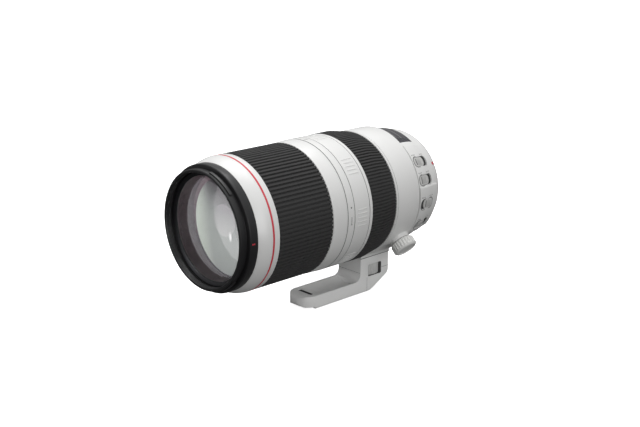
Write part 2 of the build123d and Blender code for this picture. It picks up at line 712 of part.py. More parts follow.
slider_ribs = 4
for switch_name, (switch_angle, rise, rest_end) in switches.items():
    rest_shift = -rest_end * slider_travel / 2
    slider_plane = switch_plane(switch_angle, rise - well_depth + 0.05, rest_shift)
    with BuildPart() as slider:
        with BuildSketch(slider_plane) as slider_outline:
            RectangleRounded(slider_length, well_height - 2 * slider_gap, 3.0)
        extrude(slider_outline.sketch, amount=well_depth - 0.35)
        with BuildSketch(slider_plane.offset(well_depth - 0.35)) as rib_prints:
            with GridLocations(1.3, 0, slider_ribs, 1):
                Rectangle(0.6, well_height - 2.4)
        extrude(rib_prints.sketch, amount=0.55)
    save(slider, switch_name)

# --- mount ---------------------------------------------------------------------------
screw_circle = 29.0
screw_head_radius = 2.0
screw_radius = 1.0
screw_depth = 3.0         # thread in the rear frame
screw_angles = [45, 135, 225, 315]
lock_pin_radius = 1.6
lock_pin_angle = 340

with BuildPart() as bayonet_ring:
    revolve(profile(
        (bayonet_bore, -rear_rim), (mount_flange_radius, -rear_rim), (mount_flange_radius, -0.3),
        (mount_flange_radius - 0.3, 0), (bayonet_radius, 0), (bayonet_radius, bayonet_length),
        (bayonet_bore, bayonet_length)), axis=Axis.Y)
    for lug_centre in (0, 120, 240):
        with BuildPart(mode=Mode.PRIVATE) as lug:
            revolve(tube_profile(bayonet_radius - 0.4, bayonet_radius + bayonet_lug_height,
                                 bayonet_length - 0.7, bayonet_length - 0.7 - bayonet_lug_thickness),
                    axis=Axis.Y)
            extrude(slice_face(lug_centre - 27, lug_centre + 27, 2 * bayonet_radius, axis_plane(0)),
                    amount=2 * bayonet_length, mode=Mode.INTERSECT)
        add(lug.part)
    with BuildSketch(axis_plane(0)) as heads:
        for angle in screw_angles:
            with Locations((screw_circle * cos(radians(angle)), screw_circle * sin(radians(angle)))):
                Circle(screw_head_radius + 0.05)
    extrude(heads.sketch, amount=-1.2, mode=Mode.SUBTRACT)
    with BuildSketch(axis_plane(0)) as shanks:
        for angle in screw_angles:
            with Locations((screw_circle * cos(radians(angle)), screw_circle * sin(radians(angle)))):
                Circle(screw_radius + 0.05)
    extrude(shanks.sketch, amount=-rear_rim, mode=Mode.SUBTRACT)
    with BuildSketch(axis_plane(0)) as lock_hole:
        with Locations((screw_circle * cos(radians(lock_pin_angle)),
                        screw_circle * sin(radians(lock_pin_angle)))):
            Circle(lock_pin_radius)
    extrude(lock_hole.sketch, amount=-rear_rim, mode=Mode.SUBTRACT)
save(bayonet_ring, "bayonet_ring")

with BuildPart() as mount_screws:
    for angle in screw_angles:
        place = (screw_circle * cos(radians(angle)), screw_circle * sin(radians(angle)))
        with BuildSketch(axis_plane(-0.1)) as head:
            with Locations(place):
                Circle(screw_head_radius)
        extrude(head.sketch, amount=-1.1)
        with BuildSketch(axis_plane(-1.2)) as shank:
            with Locations(place):
                Circle(screw_radius)
        extrude(shank.sketch, amount=-(rear_rim - 1.2 + screw_depth))
        with BuildSketch(axis_plane(-0.1)) as recess:
            with Locations(place):
                Rectangle(2.0, 0.5)
                Rectangle(0.5, 2.0)
        extrude(recess.sketch, amount=-0.5, mode=Mode.SUBTRACT)
save(mount_screws, "mount_screws")

with BuildPart() as rear_frame:
    revolve(profile(
        (bayonet_radius - 1.2, rear_edge_y), (mount_flange_radius, rear_edge_y),
        (mount_flange_radius, rear_edge_y - 1.8), (frame_radius - 1.2, rear_edge_y - 1.8),
        (frame_radius - 1.2, rear_edge_y - 8.3), (frame_radius, rear_edge_y - 11.5),
        (frame_radius, rear_barrel_y - 19.0), (frame_radius - 1.6, rear_barrel_y - 19.0),
        (frame_radius - 1.6, inner_rear_y - 4), (inner_tube_radius, inner_rear_y - 4),
        (inner_tube_radius, inner_rear_y), (frame_radius - 1.6, inner_rear_y),
        (frame_radius - 1.6, rear_edge_y - 6.0), (bayonet_radius - 1.2, rear_edge_y - 6.0)), axis=Axis.Y)
    with BuildSketch(axis_plane(rear_edge_y)) as tapped:
        for angle in screw_angles:
            with Locations((screw_circle * cos(radians(angle)), screw_circle * sin(radians(angle)))):
                Circle(screw_radius)
    extrude(tapped.sketch, amount=-(screw_depth + 0.3), mode=Mode.SUBTRACT)
save(rear_frame, "rear_frame")

with BuildPart() as weather_seal:
    revolve(profile(
        (mount_flange_radius + 0.1, rear_edge_y), (mount_flange_radius + 3.6, rear_edge_y),
        (mount_flange_radius + 4.2, -0.9), (mount_flange_radius + 3.4, -0.9),
        (mount_flange_radius + 1.2, -1.5), (mount_flange_radius + 0.1, -1.5)), axis=Axis.Y)
save(weather_seal, "weather_seal")

baffle_radius = throat_bore + baffle_wall
with BuildPart() as rear_baffle:
    revolve(profile(
        (throat_bore, bayonet_length + 0.8), (baffle_radius, bayonet_length + 0.8),
        (baffle_radius, -rear_rim - 5.8), (throat_bore, -rear_rim - 5.8)), axis=Axis.Y)
    revolve(tube_profile(baffle_radius, bayonet_bore, 0, -rear_rim), axis=Axis.Y)
save(rear_baffle, "rear_baffle")

contact_pins_count = 9
with BuildPart() as contact_block:
    revolve(tube_profile(baffle_radius, bayonet_bore, bayonet_length + 0.8, 0), axis=Axis.Y)
    extrude(slice_face(150, 210, 2 * bayonet_bore, axis_plane(0)), amount=2 * bayonet_length,
            mode=Mode.INTERSECT)
save(contact_block, "contact_block")

with BuildPart() as contact_pins:
    for number in range(contact_pins_count):
        angle = 180 + (number - contact_pins_count // 2) * 6.2
        middle = (baffle_radius + bayonet_bore) / 2
        with BuildSketch(axis_plane(bayonet_length + 0.8)) as pin:
            with Locations((middle * cos(radians(angle)), middle * sin(radians(angle)))):
                Circle(0.7)
        extrude(pin.sketch, amount=0.35)
save(contact_pins, "contact_pins")

with BuildPart() as circuit_board:
    revolve(tube_profile(bayonet_radius - 1.0, frame_radius - 2.0, rear_edge_y - 6.0,
                         rear_edge_y - 7.6), axis=Axis.Y)
    extrude(slice_face(-40, 40, 2 * frame_radius, axis_plane(rear_edge_y - 9)), amount=6,
            mode=Mode.SUBTRACT)
save(circuit_board, "circuit_board")

# --- focus drive: motor and distance scale --------------------------------------------
motor_rear_y = rear_barrel_y - 21.5
with BuildPart() as motor_stator:
    revolve(tube_profile(inner_tube_radius, frame_radius, motor_rear_y, motor_rear_y - 9.5), axis=Axis.Y)
save(motor_stator, "motor_stator")

with BuildPart() as motor_rotor:
    revolve(tube_profile(inner_tube_radius + 1.0, scale_radius, motor_rear_y + 1.9, motor_rear_y + 0.2),
            axis=Axis.Y)
save(motor_rotor, "motor_rotor")

with BuildPart() as distance_scale:
    revolve(tube_profile(scale_bore, scale_radius, window_rear_y - 0.1, motor_rear_y + 1.9), axis=Axis.Y)
save(distance_scale, "distance_scale")

# --- inner tube and moving cells -------------------------------------------------------
variator_pin_y = inner_front_y + 26.0
focus_pin_y = follower_y - 14.0
with BuildPart() as inner_tube:
    revolve(tube_profile(inner_tube_bore, inner_tube_radius, inner_rear_y, inner_front_y), axis=Axis.Y)
    straight_slots([0, 120, 240], 1.5 + pin_fit, variator_pin_y + 2.5,
                   variator_pin_y - variator_travel - 2.5, inner_tube_bore - 1, inner_tube_radius + 1)
    straight_slots([0, 120, 240], 1.5 + pin_fit, focus_pin_y + focus_travel + 2.5,
                   focus_pin_y - 2.5, inner_tube_bore - 1, inner_tube_radius + 1)
save(inner_tube, "inner_tube")

cell_radius = inner_tube_bore - slide_gap


def cell(name, rear, front, glass, pin_y):
    """A lens cell that slides in the inner tube on three pins."""
    with BuildPart() as block:
        revolve(tube_profile(glass, cell_radius, rear, front), axis=Axis.Y)
        revolve(tube_profile(glass + 2.5, cell_radius - 2.5, front + 6, front), axis=Axis.Y,
                mode=Mode.SUBTRACT)
        pins([0, 120, 240], 1.5, pin_y, cell_radius - 1, inner_tube_radius + 0.3)
    save(block, name)


variator_front_y = variator_pin_y - 17.0
variator_rear_y = variator_pin_y + 5.0
cell("variator_cell", variator_rear_y, variator_front_y, 21.0, variator_pin_y)
with BuildPart() as variator_glass:
    revolve(lens_profile(21.0, variator_front_y + 3, variator_front_y + 7, 220.0, 60.0), axis=Axis.Y)
    revolve(lens_profile(21.0, variator_front_y + 12, variator_front_y + 19, -55.0, -200.0), axis=Axis.Y)
save(variator_glass, "variator_glass")

focus_front_cell_y = focus_pin_y - 8.0
focus_rear_cell_y = focus_pin_y + 9.0
cell("focus_cell", focus_rear_cell_y, focus_front_cell_y, 19.0, focus_pin_y)
with BuildPart() as focus_glass:
    revolve(lens_profile(19.0, focus_front_cell_y + 1.5, focus_front_cell_y + 9.5, 80.0, -120.0), axis=Axis.Y)
save(focus_glass, "focus_glass")

# --- iris --------------------------------------------------------------------------------
iris_front_y = variator_rear_y + 3.0
iris_depth = 7.0
iris_open_radius = 18.0
iris_blades = 9
blade_pitch = 0.3
blade_thickness = 0.15
blade_pivot = 26.0
blade_y = iris_front_y + 1.6

with BuildPart() as iris_housing:
    revolve(profile(
        (iris_open_radius, iris_front_y), (inner_tube_bore, iris_front_y),
        (inner_tube_bore, iris_front_y + iris_depth), (blade_pivot + 4.0, iris_front_y + iris_depth),
        (blade_pivot + 4.0, iris_front_y + 1.2), (iris_open_radius, iris_front_y + 1.2)), axis=Axis.Y)
    with BuildSketch(axis_plane(iris_front_y + 1.2)) as pivots:
        with PolarLocations(blade_pivot, iris_blades):
            Circle(0.6)
    extrude(pivots.sketch, amount=iris_blades * blade_pitch + 0.6)
save(iris_housing, "iris_housing")

with BuildPart() as iris_ring:
    revolve(tube_profile(iris_open_radius + 2, blade_pivot + 4.0 - slide_gap,
                         iris_front_y + iris_depth, iris_front_y + iris_depth - 1.6), axis=Axis.Y)
save(iris_ring, "iris_ring")

with BuildPart() as iris_leaves:
    for blade_number in range(iris_blades):
        pivot_angle = blade_number * 360 / iris_blades
        with BuildSketch(axis_plane(blade_y + blade_number * blade_pitch)) as leaf:
            with BuildLine():
                inner_edge = CenterArc((0, 0), iris_open_radius + 0.6, pivot_angle, 66)
                outer_edge = CenterArc((0, 0), iris_open_radius + 6.0, pivot_angle, 66)
                Line(inner_edge @ 0, outer_edge @ 0)
                Line(inner_edge @ 1, outer_edge @ 1)
            make_face()
            pivot = (blade_pivot * cos(radians(pivot_angle)), blade_pivot * sin(radians(pivot_angle)))
            with Locations(pivot):
                Circle(2.6)
                Circle(0.65, mode=Mode.SUBTRACT)
        extrude(leaf.sketch, amount=blade_thickness)
save(iris_leaves, "iris_blades")

# --- stabiliser --------------------------------------------------------------------------
stabiliser_front_y = focus_pin_y + focus_travel + 14.0
stabiliser_depth = 14.0
with BuildPart() as stabiliser_housing:
    revolve(profile(
        (20.0, stabiliser_front_y), (inner_tube_bore, stabiliser_front_y),
        (inner_tube_bore, stabiliser_front_y + stabiliser_depth),
        (28.5, stabiliser_front_y + stabiliser_depth), (28.5, stabiliser_front_y + 1.5),
        (20.0, stabiliser_front_y + 1.5)), axis=Axis.Y)
save(stabiliser_housing, "stabiliser_housing")

with BuildPart() as stabiliser_frame:
    revolve(tube_profile(22.5, 27.2, stabiliser_front_y + 4.5, stabiliser_front_y + 1.8), axis=Axis.Y)
save(stabiliser_frame, "stabiliser_frame")

with BuildPart() as stabiliser_cell:
    revolve(profile(
        (17.0, stabiliser_front_y + 4.8), (27.0, stabiliser_front_y + 4.8),
        (27.0, stabiliser_front_y + 6.3), (19.5, stabiliser_front_y + 6.3),
        (19.5, stabiliser_front_y + 12), (17.0, stabiliser_front_y + 12)), axis=Axis.Y)
save(stabiliser_cell, "stabiliser_cell")

with BuildPart() as stabiliser_glass:
    revolve(lens_profile(17.0, stabiliser_front_y + 6, stabiliser_front_y + 10, -70.0, 110.0), axis=Axis.Y)
save(stabiliser_glass, "stabiliser_glass")

# --- rear glass --------------------------------------------------------------------------
rear_cell_front_y = inner_rear_y - 5.0
rear_cell_rear_y = rear_edge_y - 5.9
with BuildPart() as rear_cell:
    revolve(profile(
        (16.5, rear_cell_rear_y), (bayonet_radius - 2.0, rear_cell_rear_y),
        (bayonet_radius - 2.0, inner_rear_y), (inner_tube_bore, inner_rear_y),
        (inner_tube_bore, rear_cell_front_y), (16.5, rear_cell_front_y)), axis=Axis.Y)
save(rear_cell, "rear_cell")

with BuildPart() as rear_glass:
    revolve(lens_profile(16.5, rear_cell_rear_y - 9, rear_cell_rear_y - 3, 90.0, -150.0), axis=Axis.Y)
    revolve(lens_profile(16.5, rear_cell_front_y + 2, rear_cell_front_y + 8, 60.0, 200.0), axis=Axis.Y)
save(rear_glass, "rear_glass")
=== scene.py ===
"""The looks of a white telephoto zoom lens with a tripod collar, built round its frame.

The lens lies along Y: the mount face is at y = 0 and the front rim points towards -Y.
Angles round the barrel are measured from the top towards +X. Class fields are in
millimetres and become metres where a mesh is made.
"""
from __future__ import annotations

import logging
import math
from dataclasses import dataclass, field
from enum import Enum

import bmesh
import bpy
from mathutils import Euler, Matrix, Vector
from mathutils.bvhtree import BVHTree


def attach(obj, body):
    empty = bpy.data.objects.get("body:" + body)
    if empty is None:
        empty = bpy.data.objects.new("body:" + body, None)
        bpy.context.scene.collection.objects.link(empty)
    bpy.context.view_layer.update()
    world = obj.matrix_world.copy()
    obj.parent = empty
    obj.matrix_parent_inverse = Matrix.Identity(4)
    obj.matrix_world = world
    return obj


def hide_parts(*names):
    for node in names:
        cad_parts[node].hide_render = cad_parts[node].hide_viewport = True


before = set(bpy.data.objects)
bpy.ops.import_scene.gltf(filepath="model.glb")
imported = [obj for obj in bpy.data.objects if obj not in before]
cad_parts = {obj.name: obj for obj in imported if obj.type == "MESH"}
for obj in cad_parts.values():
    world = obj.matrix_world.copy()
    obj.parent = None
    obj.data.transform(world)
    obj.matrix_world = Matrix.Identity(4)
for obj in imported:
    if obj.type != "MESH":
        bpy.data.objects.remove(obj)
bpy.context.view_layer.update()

LOG = logging.getLogger("lens")
MM = 0.001
RING_STEPS = 256            # steps round the axis of the large rings
RING_RADIUS = 47.13         # outside of the plain rings
RING_EDGE = 46.88           # the same at their chamfered edges
PANEL_RADIUS = 42.6         # skin of the switch panel at the switches
PANEL_Y = -20.7             # the switches' place along the axis
PANEL_SLOPE = 5.5           # degrees by which the panel falls towards the mount
Pair = tuple[float, float]
Section = list[Pair]
Triple = tuple[float, float, float]
Colour = Triple
Mesh = bpy.types.Mesh
Tree = bpy.types.NodeTree
Socket = bpy.types.NodeSocket
Paint = Colour | Socket     # a colour as a plain value or as another node's output


# --------------------------------------------------------------------------------------
# Finishes
# --------------------------------------------------------------------------------------
class Grain(Enum):
    """The fine relief of a surface."""

    ORANGE_PEEL = "orange_peel"
    MOULDED = "moulded"
    TURNED = "turned"
    POLISHED = "polished"


def put(node: bpy.types.Node, **values: float | tuple[float, ...]) -> None:
    """Set a node's inputs, whose names are given with _ for each space."""
    for name, value in values.items():
        node.inputs[name.replace("_", " ")].default_value = value


@dataclass(frozen=True)
class Look:
    """What every finish shares: a name, and a material that is made only once."""

    name: str

    def build(self) -> bpy.types.Material:
        """Make the material, or return it if it was made before.

        Returns:
            The finished material.
        """
        material = bpy.data.materials.get(self.name)
        if material is None:
            material = bpy.data.materials.new(self.name)
            material.use_nodes = True
            self.fill(material.node_tree, material.node_tree.nodes["Principled BSDF"])
        return material

    def fill(self, tree: Tree, shader: bpy.types.Node) -> None:
        """Set up a new material; each kind of finish does this in its own way."""
        raise NotImplementedError


@dataclass(frozen=True)
class Finish(Look):
    """A node-built material for one kind of surface.

    The colour drifts slightly between two tones, the roughness follows a second noise,
    and the grain gives the bump. All of it reads object coordinates.
    """

    colour: Colour
    second_colour: Colour
    roughness: float = 0.4
    roughness_spread: float = 0.06
    metallic: float = 0.0
    grain: Grain = Grain.ORANGE_PEEL
    grain_size: float = 0.25
    grain_depth: float = 0.002
    coat: float = 0.0
    sheen: float = 0.0
    specular: float = 0.5

    def fill(self, tree: Tree, shader: bpy.types.Node) -> None:
        """Set the colour's drift, the roughness and the grain.

        Args:
            tree: The material's tree.
            shader: Its shader.
        """
        put(shader, Metallic=self.metallic, Coat_Weight=self.coat, Coat_Roughness=0.12,
            Sheen_Weight=self.sheen, Specular_IOR_Level=self.specular)
        nodes, links = tree.nodes, tree.links
        place = nodes.new("ShaderNodeTexCoord")
        stretch = nodes.new("ShaderNodeMapping")
        put(stretch, Scale=self.stretch())
        links.new(place.outputs["Object"], stretch.inputs["Vector"])
        drift = self.noise(tree, stretch, 45.0, 3.0)
        mix = nodes.new("ShaderNodeMix")
        mix.data_type = "RGBA"
        put(mix, A=(*self.colour, 1.0), B=(*self.second_colour, 1.0))
        links.new(drift, mix.inputs["Factor"])
        links.new(mix.outputs["Result"], shader.inputs["Base Color"])
        spread = nodes.new("ShaderNodeMapRange")
        put(spread, To_Min=self.roughness - self.roughness_spread,
            To_Max=self.roughness + self.roughness_spread)
        links.new(self.noise(tree, stretch, 160.0, 5.0), spread.inputs["Value"])
        links.new(spread.outputs["Result"], shader.inputs["Roughness"])
        if self.grain is not Grain.POLISHED:
            bump = nodes.new("ShaderNodeBump")
            put(bump, Strength=0.35, Distance=self.grain_depth * MM)
            links.new(self.noise(tree, stretch, 1.0 / (self.grain_size * MM), 2.0),
                      bump.inputs["Height"])
            links.new(bump.outputs["Normal"], shader.inputs["Normal"])

    def stretch(self) -> Triple:
        """The pattern's scale: turned metal is drawn out round the axis."""
        return (0.08, 1.0, 0.08) if self.grain is Grain.TURNED else (1.0, 1.0, 1.0)

    def noise(self, tree: Tree, stretch: bpy.types.Node, scale: float, detail: float) -> Socket:
        """Add a noise texture fed by the stretched place.

        Args:
            tree: The material's tree.
            stretch: The mapping node that feeds it.
            scale: Cells per metre.
            detail: Octaves of detail.

        Returns:
            The noise's output.
        """
        noise = tree.nodes.new("ShaderNodeTexNoise")
        put(noise, Scale=scale, Detail=detail)
        tree.links.new(stretch.outputs["Vector"], noise.inputs["Vector"])
        return noise.outputs["Fac"]


@dataclass(frozen=True)
class Glass(Look):
    """Coated optical glass, clear with a tinted reflection."""

    tint: Colour
    film_nanometres: float
    roughness: float
    refraction: float

    def fill(self, tree: Tree, shader: bpy.types.Node) -> None:
        """Set the clear glass and its coating's film.

        Args:
            tree: The material's tree.
            shader: Its shader.
        """
        put(shader, Base_Color=(*self.tint, 1.0), Roughness=self.roughness,
            IOR=self.refraction, Transmission_Weight=1.0,
            Thin_Film_Thickness=self.film_nanometres, Thin_Film_IOR=1.38)


@dataclass(frozen=True)
class Pupil(Look):
    """The inner glass group as seen from the front: pale, with a brighter middle.

    Its light and shade are painted on: a painted shade across the top, a painted reflection
    on the left, a painted highlight low on the right and a surround painted darker towards
    the bottom. The pale light stands for what comes through the open barrel from behind,
    so part of the pattern is given off as a painted glow rather than reflected.
    """

    # Colours of the painted pattern: a ground, a painted shade, a painted reflection at the side,
    # a middle painted lighter towards the bottom, a painted highlight and the surround.
    outer: Colour = (0.24, 0.265, 0.245)
    shaded: Colour = (0.030, 0.024, 0.030)
    side: Colour = (0.42, 0.48, 0.41)
    middle_low: Colour = (0.30, 0.32, 0.30)
    middle_high: Colour = (0.17, 0.17, 0.175)
    painted_glint: Colour = (0.60, 0.63, 0.60)
    around_low: Colour = (0.016, 0.010, 0.014)
    around_high: Colour = (0.12, 0.088, 0.100)
    middle_radius: float = 11.0
    middle_rise: float = 3.0
    # Strength of the painted glow: the disc gives off light though it is no lamp.
    painted_glow: float = 0.62

    def fill(self, tree: Tree, shader: bpy.types.Node) -> None:
        """Lay the painted light and shade, from its ground to the painted highlight and the dark
        surround.

        Args:
            tree: The material's tree.
            shader: Its shader.
        """
        put(shader, Roughness=0.08, Coat_Weight=0.2, Coat_Roughness=0.02,
            Emission_Strength=self.painted_glow)
        # Painted shade across the top, then a painted reflection on the left side.
        shaded = self.blend(tree, (0.35, 0.0, 0.94), -6.0, 27.0, self.outer, self.shaded)
        ground = self.blend(tree, (-1.0, 0.0, -0.15), 13.0, 33.0, shaded, self.side)
        # The middle is painted lighter towards the bottom and darker at the top, as shade.
        middle = self.blend(tree, (0.0, 0.0, 1.0), -10.0, 20.0, self.middle_low, self.middle_high)
        edge = self.middle_radius
        whole = self.disc(tree, (0.0, self.middle_rise), (1.0, 1.0), edge + 0.35, edge - 0.35,
                          ground, middle)
        # A painted highlight: a small bright glint low on the right.
        bright = self.disc(tree, (6.0, -7.0), (1.0, 0.42), 1.9, 0.3, whole, self.painted_glint)
        # The surround is painted as shade, darker towards the bottom.
        around = self.blend(tree, (-0.2, 0.0, 1.0), -30.0, 30.0, self.around_low, self.around_high)
        colour = self.disc(tree, (1.0, -1.5), (1.0, 1.0), 33.9, 33.3, around, bright)
        tree.links.new(colour, shader.inputs["Base Color"])
        tree.links.new(colour, shader.inputs["Emission Color"])

    @staticmethod
    def mixed(tree: Tree, factor: Socket, low: Paint, high: Paint) -> Socket:
        """Mix two colours.

        Args:
            tree: The material's tree.
            factor: Where to take how much of the second.
            low: The first colour.
            high: The second colour.

        Returns:
            The mixed colour's socket.
        """
        mix = tree.nodes.new("ShaderNodeMix")
        mix.data_type = "RGBA"
        tree.links.new(factor, mix.inputs["Factor"])
        for socket, colour in (("A", low), ("B", high)):
            if isinstance(colour, tuple):
                mix.inputs[socket].default_value = (*colour, 1.0)
            else:
                tree.links.new(colour, mix.inputs[socket])
        return mix.outputs["Result"]

    def blend(self, tree: Tree, way: Triple, start: float, end: float, low: Paint,
              high: Paint) -> Socket:
        """Blend two colours along a direction.

        Args:
            tree: The material's tree.
            way: The direction.
            start: Where the blend starts along it, millimetres.
            end: Where it ends.
            low: The first colour.
            high: The second colour.

        Returns:
            The blended colour's socket.
        """
        place = tree.nodes.new("ShaderNodeTexCoord")
        along = tree.nodes.new("ShaderNodeVectorMath")
        along.operation = "DOT_PRODUCT"
        along.inputs[1].default_value = way
        tree.links.new(place.outputs["Object"], along.inputs[0])
        return self.mixed(tree, self.ranged(tree, along.outputs["Value"], start, end), low, high)

    def disc(self, tree: Tree, centre: Pair, squeeze: Pair, outer: float, inner: float,
             low: Paint, high: Paint) -> Socket:
        """Lay a soft-edged disc of one colour over another.

        Args:
            tree: The material's tree.
            centre: The disc's centre across and up, millimetres.
            squeeze: How the distance is scaled across and up.
            outer: Where the disc's edge starts.
            inner: Where the disc is whole.
            low: The colour below.
            high: The disc's colour.

        Returns:
            The colour's socket.
        """
        place = tree.nodes.new("ShaderNodeTexCoord")
        shift = tree.nodes.new("ShaderNodeMapping")
        put(shift, Scale=(squeeze[0], 0.0, squeeze[1]),
            Location=(-centre[0] * squeeze[0] * MM, 0.0, -centre[1] * squeeze[1] * MM))
        tree.links.new(place.outputs["Object"], shift.inputs["Vector"])
        reach = tree.nodes.new("ShaderNodeVectorMath")
        reach.operation = "LENGTH"
        tree.links.new(shift.outputs["Vector"], reach.inputs[0])
        return self.mixed(tree, self.ranged(tree, reach.outputs["Value"], outer, inner), low, high)

    def ranged(self, tree: Tree, value: Socket, start: float, end: float) -> Socket:
        """Ease a distance into a share from 0 to 1.

        Args:
            tree: The material's tree.
            value: The distance's socket, in metres.
            start: The distance that gives 0, millimetres.
            end: The distance that gives 1.

        Returns:
            The share's socket.
        """
        ease = tree.nodes.new("ShaderNodeMapRange")
        ease.interpolation_type = "SMOOTHSTEP"
        put(ease, From_Min=start * MM, From_Max=end * MM)
        tree.links.new(value, ease.inputs["Value"])
        return ease.outputs["Result"]


ENAMEL = Finish("white_enamel", (0.80, 0.80, 0.79), (0.76, 0.76, 0.75), 0.36, 0.05,
                grain_size=0.5, grain_depth=0.01, coat=0.15)
KNOB_ENAMEL = Finish("knob_enamel", (0.86, 0.86, 0.84), (0.80, 0.80, 0.78), 0.42, 0.06,
                     grain_size=0.4, grain_depth=0.01)
FOOT_ENAMEL = Finish("foot_enamel", (0.86, 0.86, 0.85), (0.82, 0.82, 0.81), 0.45, 0.06,
                     grain_size=0.35, grain_depth=0.014)
SWITCH_GREY = Finish("switch_grey", (0.62, 0.62, 0.61), (0.56, 0.56, 0.55), 0.48, 0.06,
                     grain=Grain.MOULDED, grain_size=0.2, grain_depth=0.008)
RUBBER = Finish("grip_rubber", (0.030, 0.030, 0.031), (0.020, 0.020, 0.021), 0.58, 0.08,
                grain=Grain.MOULDED, grain_size=0.12, grain_depth=0.03, sheen=0.12)
# Painted shade: the dark grey laid in the gaps between the rings.
SHADOW_GREY = Finish("groove_shade_grey", (0.16, 0.16, 0.16), (0.13, 0.13, 0.13), 0.6, 0.05,
                     grain=Grain.MOULDED, grain_size=0.2, grain_depth=0.004)
# Painted shade: the dark grey on the walls of the foot's wheel room.
RECESS_SHADE_GREY = Finish("recess_shade_grey", (0.10, 0.10, 0.10), (0.08, 0.08, 0.08), 0.6, 0.05,
                   grain=Grain.MOULDED, grain_size=0.2, grain_depth=0.004)
# Painted shade: a darker, duller copy of the grip rubber, laid on the grooves between the ribs.
RUBBER_GROOVE_SHADE = Finish("rubber_groove_shade", (0.008, 0.008, 0.008), (0.005, 0.005, 0.005), 0.8, 0.05,
                       grain=Grain.MOULDED, grain_size=0.12, grain_depth=0.02, specular=0.1)
SEAL = Finish("seal_rubber", (0.035, 0.035, 0.035), (0.025, 0.025, 0.025), 0.7, 0.08,
              grain=Grain.MOULDED, grain_size=0.15, grain_depth=0.02)
BLACK_RIM = Finish("black_rim", (0.018, 0.018, 0.019), (0.012, 0.012, 0.013), 0.36, 0.07,
                   grain=Grain.MOULDED, grain_size=0.18, grain_depth=0.012, coat=0.1)
BLACK_ANODISED = Finish("black_anodised", (0.022, 0.022, 0.024), (0.014, 0.014, 0.015), 0.34,
                        0.06, metallic=0.6, grain=Grain.TURNED, grain_size=0.12, grain_depth=0.01)
CELL_WALL = Finish("cell_wall", (0.12, 0.085, 0.10), (0.09, 0.064, 0.076), 0.34, 0.05,
                   grain=Grain.TURNED, grain_size=0.3, grain_depth=0.01)
BLACK_PLASTIC = Finish("black_plastic", (0.020, 0.020, 0.021), (0.014, 0.014, 0.015), 0.6, 0.08,
                       grain=Grain.MOULDED, grain_size=0.15, grain_depth=0.015)
CRIMSON = Finish("crimson_ring", (0.68, 0.060, 0.085), (0.62, 0.048, 0.070), 0.34, 0.05,
                 grain_size=0.3, grain_depth=0.004, coat=0.3)
INK = Finish("grey_ink", (0.060, 0.060, 0.062), (0.045, 0.045, 0.047), 0.6, 0.05,
             grain=Grain.MOULDED, grain_size=0.1, grain_depth=0.004)
# The grey of the scale behind the window, also laid as painted shade in the groove before the
# switch panel.
SCALE_AND_SHADE_GREY = Finish("scale_and_shade_grey", (0.13, 0.13, 0.132), (0.11, 0.11, 0.112), 0.4, 0.05,
                    grain=Grain.MOULDED, grain_size=0.2, grain_depth=0.006)
PLATED = Finish("plated_brass", (0.72, 0.72, 0.72), (0.66, 0.66, 0.67), 0.2, 0.05, metallic=1.0,
                grain=Grain.TURNED, grain_size=0.1, grain_depth=0.01)
MACHINED = Finish("machined_aluminium", (0.60, 0.60, 0.61), (0.54, 0.54, 0.55), 0.34, 0.08,
                  metallic=1.0, grain=Grain.TURNED, grain_size=0.15, grain_depth=0.015)
BRASS = Finish("bush_brass", (0.72, 0.52, 0.22), (0.64, 0.45, 0.18), 0.3, 0.08, metallic=1.0,
               grain=Grain.TURNED, grain_size=0.15, grain_depth=0.015)
GOLD = Finish("contact_gold", (0.86, 0.62, 0.26), (0.80, 0.56, 0.22), 0.22, 0.05, metallic=1.0,
              grain=Grain.POLISHED)
BOARD = Finish("board_green", (0.02, 0.12, 0.06), (0.015, 0.09, 0.045), 0.45, 0.06,
               grain=Grain.MOULDED, grain_size=0.3, grain_depth=0.01)
FRONT_GLASS = Glass("front_glass", (0.97, 0.95, 0.97), 115.0, 0.01, 1.35)
LENS_GLASS = Glass("lens_glass", (0.90, 0.95, 0.93), 140.0, 0.02, 1.5)
# The inner glass disc's painted light and shade, with a painted glow.
PUPIL = Pupil("pupil_disc")
SMOKED = Finish("smoked_window", (0.030, 0.030, 0.031), (0.024, 0.024, 0.025), 0.22, 0.03,
                grain=Grain.POLISHED, specular=0.4)


# --------------------------------------------------------------------------------------
# Making meshes
# --------------------------------------------------------------------------------------
def on_barrel(radius: float, angle: float, y: float) -> Vector:
    """A point on the barrel.

    Args:
        radius: Distance from the axis, millimetres.
        angle: Degrees from the top towards +X.
        y: Place along the axis, millimetres.

    Returns:
        The point in metres.
    """
    turn = math.radians(angle)
    return Vector((radius * math.sin(turn), y, radius * math.cos(turn))) * MM


def rounded(points: Section, radius: float, steps: int = 3) -> Section:
    """Round the corners of a closed section with arcs.

    Args:
        points: The corners, as radius and place along the axis.
        radius: The largest fillet; short sides get less.
        steps: Chords in each arc.

    Returns:
        The corners with their arcs.
    """
    result: Section = []
    count = len(points)
    for index in range(count):
        corner = Vector(points[index])
        before = Vector(points[index - 1]) - corner
        after = Vector(points[(index + 1) % count]) - corner
        bend = before.angle(after, math.pi)
        if bend > math.radians(165) or before.length < 1e-6 or after.length < 1e-6:
            result.append(tuple(corner))
            continue
        reach = min(radius / math.tan(bend / 2), 0.45 * before.length, 0.45 * after.length)
        start = corner + before.normalized() * reach
        end = corner + after.normalized() * reach
        for step in range(steps + 1):
            share = step / steps
            result.append(tuple(start.lerp(corner, share).lerp(corner.lerp(end, share), share)))
    return result


